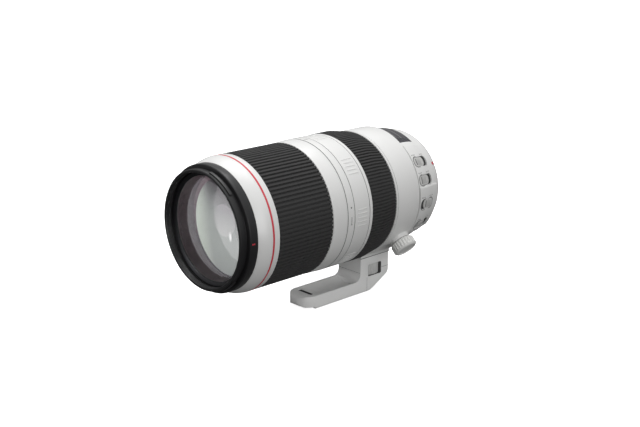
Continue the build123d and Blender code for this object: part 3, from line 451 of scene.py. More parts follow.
def new_piece(name: str, mesh: Mesh, finish: Look) -> bpy.types.Object:
    """Put a mesh in the scene with its finish.

    Args:
        name: The piece's name.
        mesh: Its mesh, in metres in the lens's frame.
        finish: The finish it wears.

    Returns:
        The new object.
    """
    piece = bpy.data.objects.new(name, mesh)
    bpy.context.scene.collection.objects.link(piece)
    if len(mesh.materials) < 2:
        mesh.materials.clear()
        mesh.materials.append(finish.build())
    mesh.materials[0] = finish.build()
    return piece


def smoothed(mesh: Mesh, sharp: float) -> Mesh:
    """Shade a mesh smooth but for its sharp edges.

    Args:
        mesh: The mesh.
        sharp: Edges that turn by more degrees than this stay sharp.

    Returns:
        The same mesh.
    """
    mesh.polygons.foreach_set("use_smooth", [True] * len(mesh.polygons))
    mesh.set_sharp_from_angle(angle=math.radians(sharp))
    return mesh


def poured(shape: bmesh.types.BMesh, mesh: Mesh) -> Mesh:
    """Put a shape's faces into a mesh and free the shape.

    Args:
        shape: The shape.
        mesh: The mesh, whose old faces go.

    Returns:
        The same mesh.
    """
    shape.to_mesh(mesh)
    shape.free()
    return mesh


def evaluated(holder: bpy.types.Object) -> Mesh:
    """Turn a holder and its modifiers into a plain mesh, and remove the holder.

    Args:
        holder: An object that isn't in the scene yet.

    Returns:
        The plain mesh.
    """
    bpy.context.scene.collection.objects.link(holder)
    bpy.context.view_layer.update()
    graph = bpy.context.evaluated_depsgraph_get()
    mesh = bpy.data.meshes.new_from_object(holder.evaluated_get(graph))
    holder.modifiers.clear()
    bpy.data.objects.remove(holder)
    return mesh


def bridge(shape: bmesh.types.BMesh, loops: list[list[bmesh.types.BMVert]],
           closed: bool = True) -> None:
    """Join each loop of points to the next with a band of faces.

    Args:
        shape: The shape that holds the points.
        loops: The loops, in order.
        closed: Whether each loop's last point joins its first.
    """
    for low, high in zip(loops, loops[1:]):
        for index in range(len(low) - (0 if closed else 1)):
            following = (index + 1) % len(low)
            shape.faces.new((low[index], low[following], high[following], high[index]))


def rounded_loop(length: float, width: float, corner: float, radius: float,
                 steps: int) -> list[Pair]:
    """Points round a rectangle with round corners.

    Args:
        length: Size along x where the drawn radius is the corner's, millimetres.
        width: The same along y.
        corner: The radius that sets where the corners' centres are.
        radius: The radius drawn at each corner.
        steps: Chords in each corner.

    Returns:
        The points, as x and y.
    """
    points = []
    for quarter in range(4):
        across = (length / 2 - corner) * (1 if quarter in (0, 3) else -1)
        along = (width / 2 - corner) * (1 if quarter in (0, 1) else -1)
        for step in range(steps + 1):
            turn = math.radians(90 * (quarter + step / steps))
            points.append((across + radius * math.cos(turn), along + radius * math.sin(turn)))
    return points


def finish_mesh(shape: bmesh.types.BMesh, name: str, sharp: float = 32.0,
                weld: float = 0.00001) -> Mesh:
    """Close and smooth a shape and turn it into a mesh.

    Args:
        shape: The shape; it is freed.
        name: The mesh's name.
        sharp: Edges that turn by more degrees than this stay sharp.
        weld: Points nearer than this are merged, metres.

    Returns:
        The mesh.
    """
    bmesh.ops.remove_doubles(shape, verts=shape.verts, dist=weld)
    bmesh.ops.recalc_face_normals(shape, faces=shape.faces)
    return smoothed(poured(shape, bpy.data.meshes.new(name)), sharp)


def lathe(name: str, section: Section, segments: int = 180, edge: float = 0.15,
          start: float = 0.0, sweep: float = 360.0) -> Mesh:
    """Turn a closed section round the optical axis.

    Args:
        name: The mesh's name.
        section: Corners as radius and place along the axis, millimetres.
        segments: Steps round the axis.
        edge: Fillet of the section's corners, millimetres.
        start: First angle in degrees, for a part turn.
        sweep: Degrees to turn through.

    Returns:
        The mesh.
    """
    outline = rounded(section, edge) if edge else section
    shape = bmesh.new()
    whole = sweep >= 360.0
    rings = []
    for index in range(segments + (0 if whole else 1)):
        angle = start + sweep * index / segments
        rings.append([shape.verts.new(on_barrel(max(r, 0.0), angle, y)) for r, y in outline])
    count = len(outline)
    for index in range(segments):
        ring, following = rings[index], rings[(index + 1) % len(rings)]
        for corner in range(count):
            other = (corner + 1) % count
            if outline[corner][0] <= 0 and outline[other][0] <= 0:
                continue
            shape.faces.new((ring[corner], ring[other], following[other], following[corner]))
    if not whole:
        shape.faces.new(rings[0])
        shape.faces.new(rings[-1])
    return finish_mesh(shape, name)


def repeat_tree() -> Tree:
    """The tree that repeats a mesh round the optical axis.

    Returns:
        A node tree with the inputs Geometry, Count, Step, Start, Weld and Material.
    """
    known = bpy.data.node_groups.get("repeat_round_axis")
    if known:
        return known
    tree = bpy.data.node_groups.new("repeat_round_axis", "GeometryNodeTree")
    for name, kind in (("Geometry", "Geometry"), ("Count", "Int"), ("Step", "Float"),
                       ("Start", "Float"), ("Weld", "Float"), ("Material", "Material")):
        tree.interface.new_socket(name, in_out="INPUT", socket_type="NodeSocket" + kind)
    tree.interface.new_socket("Geometry", in_out="OUTPUT", socket_type="NodeSocketGeometry")
    nodes, links = tree.nodes, tree.links
    entry = nodes.new("NodeGroupInput")
    leave = nodes.new("NodeGroupOutput")
    line = nodes.new("GeometryNodeMeshLine")
    line.inputs["Offset"].default_value = (0.0, 0.0, 0.0)
    links.new(entry.outputs["Count"], line.inputs["Count"])
    index = nodes.new("GeometryNodeInputIndex")
    turn = nodes.new("ShaderNodeMath")
    turn.operation = "MULTIPLY_ADD"
    links.new(index.outputs["Index"], turn.inputs[0])
    links.new(entry.outputs["Step"], turn.inputs[1])
    links.new(entry.outputs["Start"], turn.inputs[2])
    spin = nodes.new("ShaderNodeCombineXYZ")
    links.new(turn.outputs["Value"], spin.inputs["Y"])
    place = nodes.new("GeometryNodeInstanceOnPoints")
    links.new(line.outputs["Mesh"], place.inputs["Points"])
    links.new(entry.outputs["Geometry"], place.inputs["Instance"])
    links.new(spin.outputs["Vector"], place.inputs["Rotation"])
    real = nodes.new("GeometryNodeRealizeInstances")
    links.new(place.outputs["Instances"], real.inputs["Geometry"])
    weld = nodes.new("GeometryNodeMergeByDistance")
    links.new(real.outputs["Geometry"], weld.inputs["Geometry"])
    links.new(entry.outputs["Weld"], weld.inputs["Distance"])
    dress = nodes.new("GeometryNodeSetMaterial")
    links.new(weld.outputs["Geometry"], dress.inputs["Geometry"])
    links.new(entry.outputs["Material"], dress.inputs["Material"])
    links.new(dress.outputs["Geometry"], leave.inputs["Geometry"])
    return tree


def repeated(name: str, unit: Mesh, count: int, finish: Look,
             step: float | None = None, start: float = 0.0, weld: float = 0.002) -> Mesh:
    """Repeat a unit round the optical axis with geometry nodes.

    Args:
        name: The result's name.
        unit: The mesh to repeat.
        count: How many.
        finish: The finish set by the tree.
        step: Degrees between units; the full turn is shared out if left out.
        start: Degrees turned by the first unit.
        weld: Points nearer than this are merged, millimetres.

    Returns:
        The plain mesh of all the units.
    """
    holder = bpy.data.objects.new(name + "_maker", unit)
    modifier = holder.modifiers.new("repeat", "NODES")
    modifier.node_group = repeat_tree()
    values = {"Count": count, "Step": math.radians(360.0 / count if step is None else step),
              "Start": math.radians(start), "Weld": weld * MM, "Material": finish.build()}
    for item in modifier.node_group.interface.items_tree:
        if item.item_type == "SOCKET" and item.in_out == "INPUT" and item.name in values:
            modifier[item.identifier] = values[item.name]
    mesh = evaluated(holder)
    mesh.name = name
    return smoothed(mesh, 35.0)


def joined(name: str, meshes: list[Mesh]) -> Mesh:
    """Put several meshes into one.

    Args:
        name: The result's name.
        meshes: The meshes to join.

    Returns:
        The joined mesh.
    """
    shape = bmesh.new()
    for mesh in meshes:
        shape.from_mesh(mesh)
    return smoothed(poured(shape, bpy.data.meshes.new(name)), 32.0)


def axes_matrix(first: Vector, second: Vector, third: Vector, place: Vector) -> Matrix:
    """The matrix that takes x, y and z to three directions and the origin to a place."""
    return Matrix([(*row, 0.0) for row in (first, second, third)] + [(*place, 1.0)]).transposed()


def radial_matrix(angle: float, radius: float, y: float, slope: float = 0.0) -> Matrix:
    """A place on the barrel whose z faces out and whose x runs back along the axis.

    Args:
        angle: Degrees from the top towards +X.
        radius: Distance from the axis, millimetres.
        y: Place along the axis, millimetres.
        slope: Degrees by which the surface falls towards the mount.

    Returns:
        The matrix, in metres.
    """
    turn, fall = math.radians(angle), math.radians(slope)
    outward = Vector((math.sin(turn), 0.0, math.cos(turn)))
    back = Vector((0.0, 1.0, 0.0))
    along = back * math.cos(fall) - outward * math.sin(fall)
    facing = outward * math.cos(fall) + back * math.sin(fall)
    return axes_matrix(along, facing.cross(along), facing, on_barrel(radius, angle, y))


def slab(length: float, width: float, height: float, corner: float, edge: float,
         steps: int = 5) -> Mesh:
    """A rounded slab standing on z = 0, centred on x and y.

    Args:
        length: Size along x, millimetres.
        width: Size along y, millimetres.
        height: Size along z, millimetres.
        corner: Radius of the upright corners, millimetres.
        edge: Fillet of the top edge, millimetres.
        steps: Chords in each corner.

    Returns:
        The mesh.
    """
    shape = bmesh.new()
    rings = []
    for inset, z in ((0.0, 0.0), (0.0, height - edge), (0.3 * edge, height - 0.3 * edge),
                     (edge, height)):
        outline = rounded_loop(length, width, corner, max(corner - inset, 0.01), steps)
        rings.append([shape.verts.new(Vector((x, y, z)) * MM) for x, y in outline])
    bridge(shape, rings)
    shape.faces.new(rings[0][::-1])
    shape.faces.new(rings[-1])
    return finish_mesh(shape, "slab", sharp=40.0)


def wrapped(mesh: Mesh, radius: float, angle: float, y: float) -> Mesh:
    """Bend a flat mesh round the barrel.

    Args:
        mesh: A mesh whose x runs round the barrel and whose y runs forwards, millimetres
            from its own origin, with z as height above the surface.
        radius: The surface's radius, millimetres.
        angle: Where its origin lies, degrees from the top.
        y: Where its origin lies along the axis, millimetres.

    Returns:
        The same mesh, bent and in metres.
    """
    for vertex in mesh.vertices:
        turn = angle + math.degrees(vertex.co.x / radius)
        vertex.co = on_barrel(radius + vertex.co.z, turn, y - vertex.co.y)
    return mesh


def numeral(text: str, height: float) -> Mesh:
    """Numbers for a dial, as a thin flat mesh in millimetres.

    Args:
        text: The digits.
        height: Their size, millimetres.

    Returns:
        The mesh, with short edges so that it can be bent.
    """
    curve = bpy.data.curves.new("numeral", "FONT")
    curve.body = text
    curve.size = height
    curve.align_x = curve.align_y = "CENTER"
    curve.extrude = 0.02
    return evaluated(bpy.data.objects.new("numeral_maker", curve))


def plate(length: float, width: float, height: float = 0.04, cuts: int = 4) -> Mesh:
    """A thin flat mark in millimetres, cut across so that it can be bent.

    Args:
        length: Size round the barrel.
        width: Size along the axis.
        height: Thickness.
        cuts: Parts along its length.

    Returns:
        The mesh.
    """
    shape = bmesh.new()
    rows = []
    for step in range(cuts + 1):
        x = length * (step / cuts - 0.5)
        rows.append([shape.verts.new((x, y, z)) for y, z in (
            (-width / 2, 0.0), (width / 2, 0.0), (width / 2, height), (-width / 2, height))])
    bridge(shape, rows)
    shape.faces.new(rows[0])
    shape.faces.new(rows[-1])
    return finish_mesh(shape, "mark", sharp=30.0, weld=0.0001)


def disc(radius: float, height: float, steps: int = 24) -> Mesh:
    """A thin round mark in millimetres, on z = 0.

    Args:
        radius: Its radius.
        height: Its thickness.
        steps: Sides.

    Returns:
        The mesh.
    """
    shape = bmesh.new()
    turns = [math.tau * step / steps for step in range(steps)]
    rings = [[shape.verts.new((radius * math.cos(turn), radius * math.sin(turn), z))
              for turn in turns] for z in (0.0, height)]
    bridge(shape, rings)
    shape.faces.new(rings[0][::-1])
    shape.faces.new(rings[1])
    return finish_mesh(shape, "disc", sharp=30.0, weld=0.0001)


def merged_copy(node: str, sharp: float = 30.0, edge: float = 0.0) -> Mesh:
    """A clean copy of a CAD node's mesh, welded, smoothed and with softened edges.

    Args:
        node: The CAD node.
        sharp: Edges that turn by more degrees than this stay sharp.
        edge: Width of the bevel on those edges, millimetres; none if zero.

    Returns:
        The mesh.
    """
    shape = bmesh.new()
    shape.from_mesh(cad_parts[node].data)
    bmesh.ops.remove_doubles(shape, verts=shape.verts, dist=0.000002)
    bmesh.ops.dissolve_limit(shape, angle_limit=math.radians(0.4), verts=shape.verts,
                             edges=shape.edges)
    mesh = poured(shape, bpy.data.meshes.new(node + "_copy"))
    if edge:
        holder = bpy.data.objects.new(node + "_maker", mesh)
        bevel = holder.modifiers.new("edges", "BEVEL")
        bevel.width = edge * MM
        bevel.segments = 2
        bevel.limit_method = "ANGLE"
        bevel.angle_limit = math.radians(sharp)
        bevel.use_clamp_overlap = True
        mesh = evaluated(holder)
    return smoothed(mesh, sharp)


class Surface:
    """Finds points on a CAD node's outside, so that marks can lie on it."""

    def __init__(self, *nodes: str) -> None:
        """Gather the nodes' faces.

        Args:
            *nodes: The CAD nodes that make the surface.
        """
        corners: list[Vector] = []
        faces: list[tuple[int, ...]] = []
        for node in nodes:
            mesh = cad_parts[node].data
            base = len(corners)
            corners += [vertex.co.copy() for vertex in mesh.vertices]
            faces += [tuple(base + index for index in face.vertices) for face in mesh.polygons]
        self.tree = BVHTree.FromPolygons(corners, faces)

    def point(self, angle: float, y: float, lift: float) -> Vector:
        """A point above the surface.

        Args:
            angle: Degrees from the top towards +X.
            y: Place along the axis, millimetres.
            lift: Height above the surface, millimetres.

        Returns:
            The point in metres.
        """
        start = on_barrel(70.0, angle, y)
        inward = -on_barrel(1.0, angle, 0.0).normalized()
        hit = self.tree.ray_cast(start, inward)[0]
        return (hit if hit else on_barrel(42.0, angle, y)) - inward * (lift * MM)

    def laid(self, mesh: Mesh, radius: float, angle: float, y: float) -> Mesh:
        """Lay a flat mesh on the surface.

        Args:
            mesh: x runs round the barrel, y runs forwards and z is height, in millimetres.
            radius: The radius that turns x into an angle.
            angle: Where its origin lies, degrees from the top.
            y: Where its origin lies along the axis, millimetres.

        Returns:
            The same mesh, laid down and in metres.
        """
        for vertex in mesh.vertices:
            turn = angle + math.degrees(vertex.co.x / radius)
            vertex.co = self.point(turn, y - vertex.co.y, vertex.co.z)
        return mesh


# --------------------------------------------------------------------------------------
# Sub-assemblies
# --------------------------------------------------------------------------------------
@dataclass
class Assembly:
    """What every sub-assembly shares: the body it rides on and its pieces."""

    body: str
    pieces: list[bpy.types.Object] = field(default_factory=list)

    def add(self, name: str, mesh: Mesh, finish: Look, slot: str,
            *nodes: str) -> bpy.types.Object:
        """Add a piece that rides on this assembly's body.

        Args:
            name: The piece's name.
            mesh: Its mesh.
            finish: Its finish.
            slot: The material slot's name; not used.
            *nodes: The CAD nodes it stands for.

        Returns:
            The piece.
        """
        piece = new_piece(name, mesh, finish)
        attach(piece, self.body)
        if nodes:
            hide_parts(*nodes)
        self.pieces.append(piece)
        return piece

    def turned(self, name: str, section: Section, segments: int, edge: float, finish: Look,
               slot: str, *nodes: str) -> None:
        """Add a piece turned round the optical axis.

        Args:
            name: The piece's name.
            section: Corners as radius and place along the axis, millimetres.
            segments: Steps round the axis.
            edge: Fillet of the section's corners, millimetres.
            finish: Its finish.
            slot: The material slot's name, handed on to add.
            *nodes: The CAD nodes it stands for.
        """
        self.add(name, lathe(name, section, segments, edge), finish, slot, *nodes)

    def softened(self, name: str, node: str, sharp: float, edge: float, finish: Look,
                 slot: str) -> None:
        """Add a piece that is a CAD node's shape with softened edges.

        Args:
            name: The piece's name.
            node: The CAD node.
            sharp: Edges that turn by more degrees than this are softened.
            edge: Width of their bevel, millimetres.
            finish: Its finish.
            slot: The material slot's name, handed on to add.
        """
        self.add(name, merged_copy(node, sharp, edge), finish, slot, node)

    def dress(self, finish: Look, *nodes: str) -> None:
        """Give CAD nodes that stay in view a finish.

        Args:
            finish: The finish.
            *nodes: The CAD nodes.
        """
        for node in nodes:
            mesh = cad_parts[node].data
            mesh.materials.clear()
            mesh.materials.append(finish.build())


@dataclass
class FrontGroup(Assembly):
    """The filter rim, the white front band, the front glass and the tube behind them."""

    body: str = "front_group"
    front: float = -192.9
    flange_front: float = -187.1
    flange_rear: float = -180.9
    band_rear: float = -165.5
    rim_radius: float = 40.6
    flange_radius: float = 43.2
    band_radius: float = 46.4
    bore: float = 38.3
    cell_bore: float = 38.9
    thread_pitch: float = 0.75
    thread_depth: float = 0.35
    glass_radius: float = 36.2
    glass_edge: float = -184.7

    def build(self) -> None:
        """Build and dress every piece."""
        self.add("front_rim", self.rim(), BLACK_RIM, "black_plastic", "filter_ring")
        self.add("hood_bayonet_lugs", self.lugs(), BLACK_RIM, "black_plastic")
        self.add("front_band_shell", self.band(), ENAMEL, "white_paint", "front_band")
        self.turned("crimson_line", [
            (45.7, -171.2), (46.5, -171.2), (46.5, -169.8), (45.7, -169.8)],
            RING_STEPS, 0.12, CRIMSON, "red_line", "red_ring")
        self.turned("glass_retainer", [
            (38.9, -187.05), (38.9, -185.3), (35.5, -185.3), (35.5, -186.0), (37.9, -187.05)],
            220, 0.1, BLACK_ANODISED, "black_anodised", "retaining_ring")
        self.turned("front_cell_wall", [
            (38.9, -185.3), (38.9, -159.9), (35.0, -159.9), (35.0, -164.2), (36.25, -164.2),
            (36.25, -185.3)], 200, 0.1, CELL_WALL, "black_plastic", "front_cell")
        self.add("front_glass_disc", self.lens(self.glass_radius, self.glass_edge - 4.02, -187.5,
                                               165.0, 165.0), FRONT_GLASS, "coated_glass",
                 "front_element")
        # The second lens wears the pupil's painted light and shade and its painted glow.
        self.add("second_glass_disc", self.lens(35.9, -173.2, -167.2, 320.0, -400.0),
                 PUPIL, "coated_glass", "second_element")
        self.turned("sliding_tube", [
            (38.9, -71.6), (40.4, -71.6), (40.4, -180.9), (38.9, -180.9)],
            RING_STEPS, 0.2, ENAMEL, "white_tube", "extension_tube")
        self.add("rim_index", self.index(), CRIMSON, "red_line")
        self.dress(BRASS, "cam_followers")

    def rim(self) -> Mesh:
        """The black rim with its filter thread and flange, as one mesh."""
        step, depth = self.thread_pitch, self.thread_depth
        inside: Section = [(self.cell_bore, self.flange_rear), (self.cell_bore, -189.0),
                           (self.bore, -189.0)]
        for turn in range(4):
            y = self.flange_front - 2.3 - turn * step
            inside += [(self.bore, y), (self.bore + depth, y - step / 3),
                       (self.bore + depth, y - 0.6 * step)]
        inside += [(self.bore, self.front + 0.55), (self.bore + 0.35, self.front)]
        outside: Section = [
            (self.rim_radius - 0.5, self.front), (self.rim_radius, self.front + 0.5),
            (self.rim_radius, self.flange_front - 1.6),
            (self.rim_radius - 0.9, self.flange_front - 1.3),
            (self.rim_radius - 0.9, self.flange_front),
            (self.flange_radius - 0.5, self.flange_front),
            (self.flange_radius, self.flange_front + 0.5), (self.flange_radius, self.flange_rear)]
        return lathe("front_rim", inside + outside, RING_STEPS, 0.12)

    def lugs(self) -> Mesh:
        """The three hood lugs, repeated round the rim."""
        unit = lathe("lug", [
            (40.2, self.front + 1.4), (41.6, self.front + 1.4), (41.6, self.front + 3.6),
            (40.2, self.front + 3.6)], 24, 0.25, 12.0, 32.0)
        return repeated("hood_bayonet_lugs", unit, 3, BLACK_RIM)

    def band(self) -> Mesh:
        """The white band that flares back from the flange to the crimson line."""
        flare: Section = []
        start, end = (self.flange_radius - 0.1, self.flange_rear), (self.band_radius, -171.2)
        run, rise = end[1] - start[1], end[0] - start[0]
        for index in range(13):
            t = index / 12
            ease = (t ** 3 - 2 * t ** 2 + t) * 0.62 * run + (3 * t ** 2 - 2 * t ** 3) * rise
            flare.append((start[0] + ease, start[1] + t * run))
        section = flare + [
            (self.band_radius - 0.7, -171.2), (self.band_radius - 0.7, -169.8),
            (self.band_radius, -169.8), (self.band_radius, self.band_rear),
            (44.3, self.band_rear), (44.3, -175.9), (40.4, -175.9), (40.4, self.flange_rear)]
        return lathe("front_band_shell", section, RING_STEPS, 0.18)

    @staticmethod
    def lens(radius: float, front: float, rear: float, front_curve: float,
             rear_curve: float) -> Mesh:
        """A lens with two spherical faces and a small bevel at its edge.

        Args:
            radius: Edge radius.
            front: Place of the front vertex along the axis.
            rear: Place of the rear vertex.
            front_curve: Front radius, positive where it bulges forwards.
            rear_curve: Rear radius, negative where it bulges backwards.

        Returns:
            The mesh.
        """
        def face(vertex: float, curve: float) -> Section:
            return [(radius * step / 16, vertex + math.copysign(
                abs(curve) - math.sqrt(curve ** 2 - (radius * step / 16) ** 2), curve))
                for step in range(17)]

        disc_mesh = lathe("lens", face(front, front_curve) + face(rear, rear_curve)[::-1], 160,
                          0.0)
        for finish in (LENS_GLASS, CELL_WALL):
            disc_mesh.materials.append(finish.build())
        for part in disc_mesh.polygons:
            part.material_index = int(abs(part.normal.y) < 0.5)
        return disc_mesh

    def index(self) -> Mesh:
        """The small index line on the flange."""
        return wrapped(plate(0.9, 2.4), self.flange_radius, 91.0, -184.6)


@dataclass(frozen=True)
class GripSize:
    """Where a ribbed grip's surface lies at one place along the axis."""

    y: float
    inner: float
    crest: float
    depth: float


@dataclass
class RibbedGrip:
    """A rubber sleeve with straight ribs, made from one rib repeated round the axis."""

    name: str
    ribs: int
    stations: tuple[GripSize, ...]
    flat: float = 0.54
    wall: float = 0.06

    def mesh(self) -> Mesh:
        """Build one rib and repeat it.

        Returns:
            The closed sleeve.
        """
        pitch = 360.0 / self.ribs
        half = self.flat / 2
        across = ((-0.5, 0.0), (-half - self.wall, 0.0), (-half - 0.02, 0.72), (-half + 0.03, 1.0),
                  (0.0, 1.04), (half - 0.03, 1.0), (half + 0.02, 0.72), (half + self.wall, 0.0),
                  (0.5, 0.0))
        shape = bmesh.new()
        rows = []
        for station in self.stations:
            outer = [shape.verts.new(on_barrel(
                min(station.crest, station.crest - station.depth * (1 - height)), pitch * share,
                station.y)) for share, height in across]
            inner = [shape.verts.new(on_barrel(station.inner, pitch * share, station.y))
                     for share in (-0.5, 0.5)]
            rows.append((outer, inner))
        bridge(shape, [outer for outer, _ in rows], closed=False)
        bridge(shape, [inner[::-1] for _, inner in rows], closed=False)
        for (outer, inner), flip in ((rows[0], 1), (rows[-1], -1)):
            loop = outer + inner[::-1]
            shape.faces.new(loop[::-flip])
        rib = poured(shape, bpy.data.meshes.new(self.name + "_rib"))
        sleeve = repeated(self.name, rib, self.ribs, RUBBER, weld=0.01)
        shape = bmesh.new()
        shape.from_mesh(sleeve)
        bmesh.ops.recalc_face_normals(shape, faces=shape.faces)
        poured(shape, sleeve).set_sharp_from_angle(angle=math.radians(38))
        # The faces between the rib crests take the painted groove shade.
        sleeve.materials.append(RUBBER_GROOVE_SHADE.build())
        for face in sleeve.polygons:
            turn = math.degrees(math.atan2(face.center.x, face.center.z)) / pitch
            if abs(turn - round(turn)) > half + 0.015:
                face.material_index = 1
        return sleeve


@dataclass
class ZoomRing(Assembly):
    """The zoom sleeve with its rubber grip and scale."""

    body: str = "zoom_ring"
    ribs: int = 100
    grip_front: float = -165.2
    grip_rear: float = -117.9
    sleeve_radius: float = 45.1
    crest_radius: float = 46.4
    numerals: tuple[tuple[str, float], ...] = (
        ("100", 3.0), ("135", -19.0), ("200", -43.0), ("300", -66.0), ("400", -87.0))

    def build(self) -> None:
        """Build and dress every piece."""
        self.turned("zoom_sleeve_shell", [
            (43.7, self.grip_front), (45.1, self.grip_front), (45.1, self.grip_rear),
            (46.5, self.grip_rear), (RING_RADIUS, -106.0), (RING_EDGE, -105.0), (43.95, -105.0),
            (43.7, -105.3)], RING_STEPS, 0.22, ENAMEL, "white_paint", "zoom_sleeve")
        self.add("zoom_grip_ribs", self.grip().mesh(), RUBBER, "grip_rubber", "zoom_grip")
        marks = [wrapped(numeral(text, 3.1), 46.86, angle, -109.6)
                 for text, angle in self.numerals]
        marks += [wrapped(plate(0.35, 1.7), 47.05, angle, -106.6) for _, angle in self.numerals]
        self.add("zoom_scale_marks", joined("zoom_scale_marks", marks), INK, "black_plastic")
        self.dress(BLACK_ANODISED, "cam_tube")

    def grip(self) -> RibbedGrip:
        """The grip's sizes, with eased ends and a fine line at mid length."""
        inner, crest, depth = self.sleeve_radius, self.crest_radius, 1.15
        middle = -141.0
        places = ((self.grip_rear, 0.35), (self.grip_rear - 0.35, 0.06),
                  (self.grip_rear - 0.7, 0.0), (middle + 0.5, 0.0), (middle + 0.2, 0.16),
                  (middle - 0.2, 0.16), (middle - 0.5, 0.0), (self.grip_front + 0.7, 0.0),
                  (self.grip_front + 0.35, 0.06), (self.grip_front, 0.35))
        return RibbedGrip("zoom_grip_ribs", self.ribs, tuple(
            GripSize(y, inner, crest - drop, depth - drop) for y, drop in places))


@dataclass
class FocusRing(Assembly):
    """The focus sleeve with its tapered rubber grip."""

    body: str = "focus_ring"
    ribs: int = 125

    def build(self) -> None:
        """Build and dress every piece."""
        self.turned("focus_sleeve_shell", [
            (45.03, -83.8), (46.83, -83.8), (RING_RADIUS, -83.5), (RING_RADIUS, -81.3),
            (46.03, -81.3), (46.03, -68.1), (44.13, -55.1), (45.43, -55.1), (45.43, -53.4),
            (43.43, -53.4), (43.43, -67.7), (45.03, -67.7)],
            RING_STEPS, 0.15, ENAMEL, "white_paint", "focus_sleeve")
        places = ((-55.1, 44.13, 44.85, 0.4), (-55.4, 44.18, 45.05, 0.68),
                  (-56.0, 44.27, 45.19, 0.80), (-60.0, 44.85, 45.88, 0.95),
                  (-64.0, 45.43, 46.60, 1.05), (-68.1, 46.03, 47.33, 1.15),
                  (-80.6, 46.03, 47.33, 1.15), (-80.95, 46.03, 47.27, 1.09),
                  (-81.3, 46.03, 46.98, 0.6))
        sizes = tuple(GripSize(*place) for place in places)
        grip = RibbedGrip("focus_grip_ribs", self.ribs, sizes)
        self.add("focus_grip_ribs", grip.mesh(), RUBBER, "grip_rubber", "focus_grip")


def plain_ring(inner: float, front: float, rear: float) -> Section:
    """The section of a plain ring with chamfered edges.

    Args:
        inner: Its inside radius, millimetres.
        front: Where its front end lies along the axis.
        rear: Where its rear end lies.

    Returns:
        The section.
    """
    chamfer = RING_RADIUS - RING_EDGE
    return [(inner, front), (RING_EDGE, front), (RING_RADIUS, front + chamfer),
            (RING_RADIUS, rear - chamfer), (RING_EDGE, rear), (inner, rear)]


@dataclass
class TensionRing(Assembly):
    """The smooth ring with eight groups of fine ridges."""

    body: str = "tension_ring"
    groups: int = 8
    ridges: int = 5
    pitch: float = 3.5
    first: float = 46.5

    def build(self) -> None:
        """Build and dress every piece."""
        self.turned("tension_shell", plain_ring(45.03, -98.3, -84.1), RING_STEPS, 0.12, ENAMEL,
                    "white_paint", "tension_ring")
        units = []
        for index in range(self.ridges):
            ridge = slab(9.0, 0.9, 0.45, 0.44, 0.2, 4)
            ridge.transform(radial_matrix((index - self.ridges // 2) * self.pitch,
                                          RING_RADIUS - 0.2, -91.2))
            units.append(ridge)
        self.add("tension_ridges", repeated("tension_ridges", joined("ridge_group", units),
                                            self.groups, ENAMEL, start=self.first),
                 ENAMEL, "white_paint")


@dataclass
class IndexBand(Assembly):
    """The fixed band with the zoom index."""

    body: str = "barrel"

    def build(self) -> None:
        """Build and dress every piece."""
        self.turned("index_band_shell", plain_ring(44.95, -104.7, -98.6), RING_STEPS, 0.12,
                    ENAMEL, "white_paint", "index_band")
        marks = [wrapped(plate(0.4, 3.4), RING_RADIUS, 3.0, -102.4),
                 wrapped(disc(0.55, 0.04), RING_RADIUS, 81.0, -101.6),
                 wrapped(plate(5.2, 0.3), RING_RADIUS, 92.0, -101.6),
                 wrapped(plate(0.3, 1.4), RING_RADIUS, 95.4, -101.6)]
        self.add("index_marks", joined("index_marks", marks), INK, "black_plastic")


@dataclass
class Collar(Assembly):
    """The tripod collar ring."""

    body: str = "collar"

    def build(self) -> None:
        """Build and dress every piece."""
        self.softened("collar_shell", "collar_ring", 28.0, 0.28, ENAMEL, "white_paint")


@dataclass
class CollarKnob(Assembly):
    """The fluted knob that locks the collar."""

    body: str = "collar_knob"
    flutes: int = 24
    radius: float = 9.0
    height: float = 7.4
    stand_off: float = 47.95
    angle: float = 133.0
    y: float = -38.5

    def build(self) -> None:
        """Build and dress every piece."""
        self.add("fluted_knob", self.knob(), KNOB_ENAMEL, "white_paint", "collar_knob")
        self.dress(PLATED, "knob_screw")

    def knob(self) -> Mesh:
        """The knob: one flute's sector, repeated, and then put in its place."""
        pitch = 360.0 / self.flutes
        stations = ((0.0, 0.0, True), (7.7, 0.0, True), (8.5, 0.6, True), (9.0, 1.3, True),
                    (9.0, 5.9, True), (8.93, 6.15, True), (8.93, 6.16, False), (8.6, 6.55, False),
                    (7.9, 7.25, False), (7.5, 7.4, False), (6.65, 7.4, False), (6.5, 7.25, False),
                    (6.5, 6.95, False), (0.0, 6.9, False))
        shares = (-0.5, -0.33, -0.24, -0.12, 0.0, 0.12, 0.24, 0.33, 0.5)
        shape = bmesh.new()
        rows = []
        for reach, height, fluted in stations:
            row = []
            for share in shares:
                turn = pitch * share
                arc = math.radians(turn) * self.radius
                hollow = self.radius + 0.25 - math.sqrt(max(0.75 ** 2 - arc ** 2, 0.0))
                r = min(reach, hollow) if fluted and abs(arc) < 0.71 else reach
                row.append(shape.verts.new(on_barrel(r, turn, height)))
            rows.append(row)
        bridge(shape, rows, closed=False)
        flute = poured(shape, bpy.data.meshes.new("flute"))
        mesh = repeated("fluted_knob", flute, self.flutes, KNOB_ENAMEL, weld=0.004)
        outward = on_barrel(1.0, self.angle, 0.0).normalized()
        along = Vector((0.0, 1.0, 0.0))
        mesh.transform(axes_matrix(outward.cross(along), outward, along,
                                   on_barrel(self.stand_off, self.angle, self.y)))
        shape = bmesh.new()
        shape.from_mesh(mesh)
        bmesh.ops.remove_doubles(shape, verts=shape.verts, dist=0.000004)
        bmesh.ops.recalc_face_normals(shape, faces=shape.faces)
        poured(shape, mesh).set_sharp_from_angle(angle=math.radians(32))
        return mesh


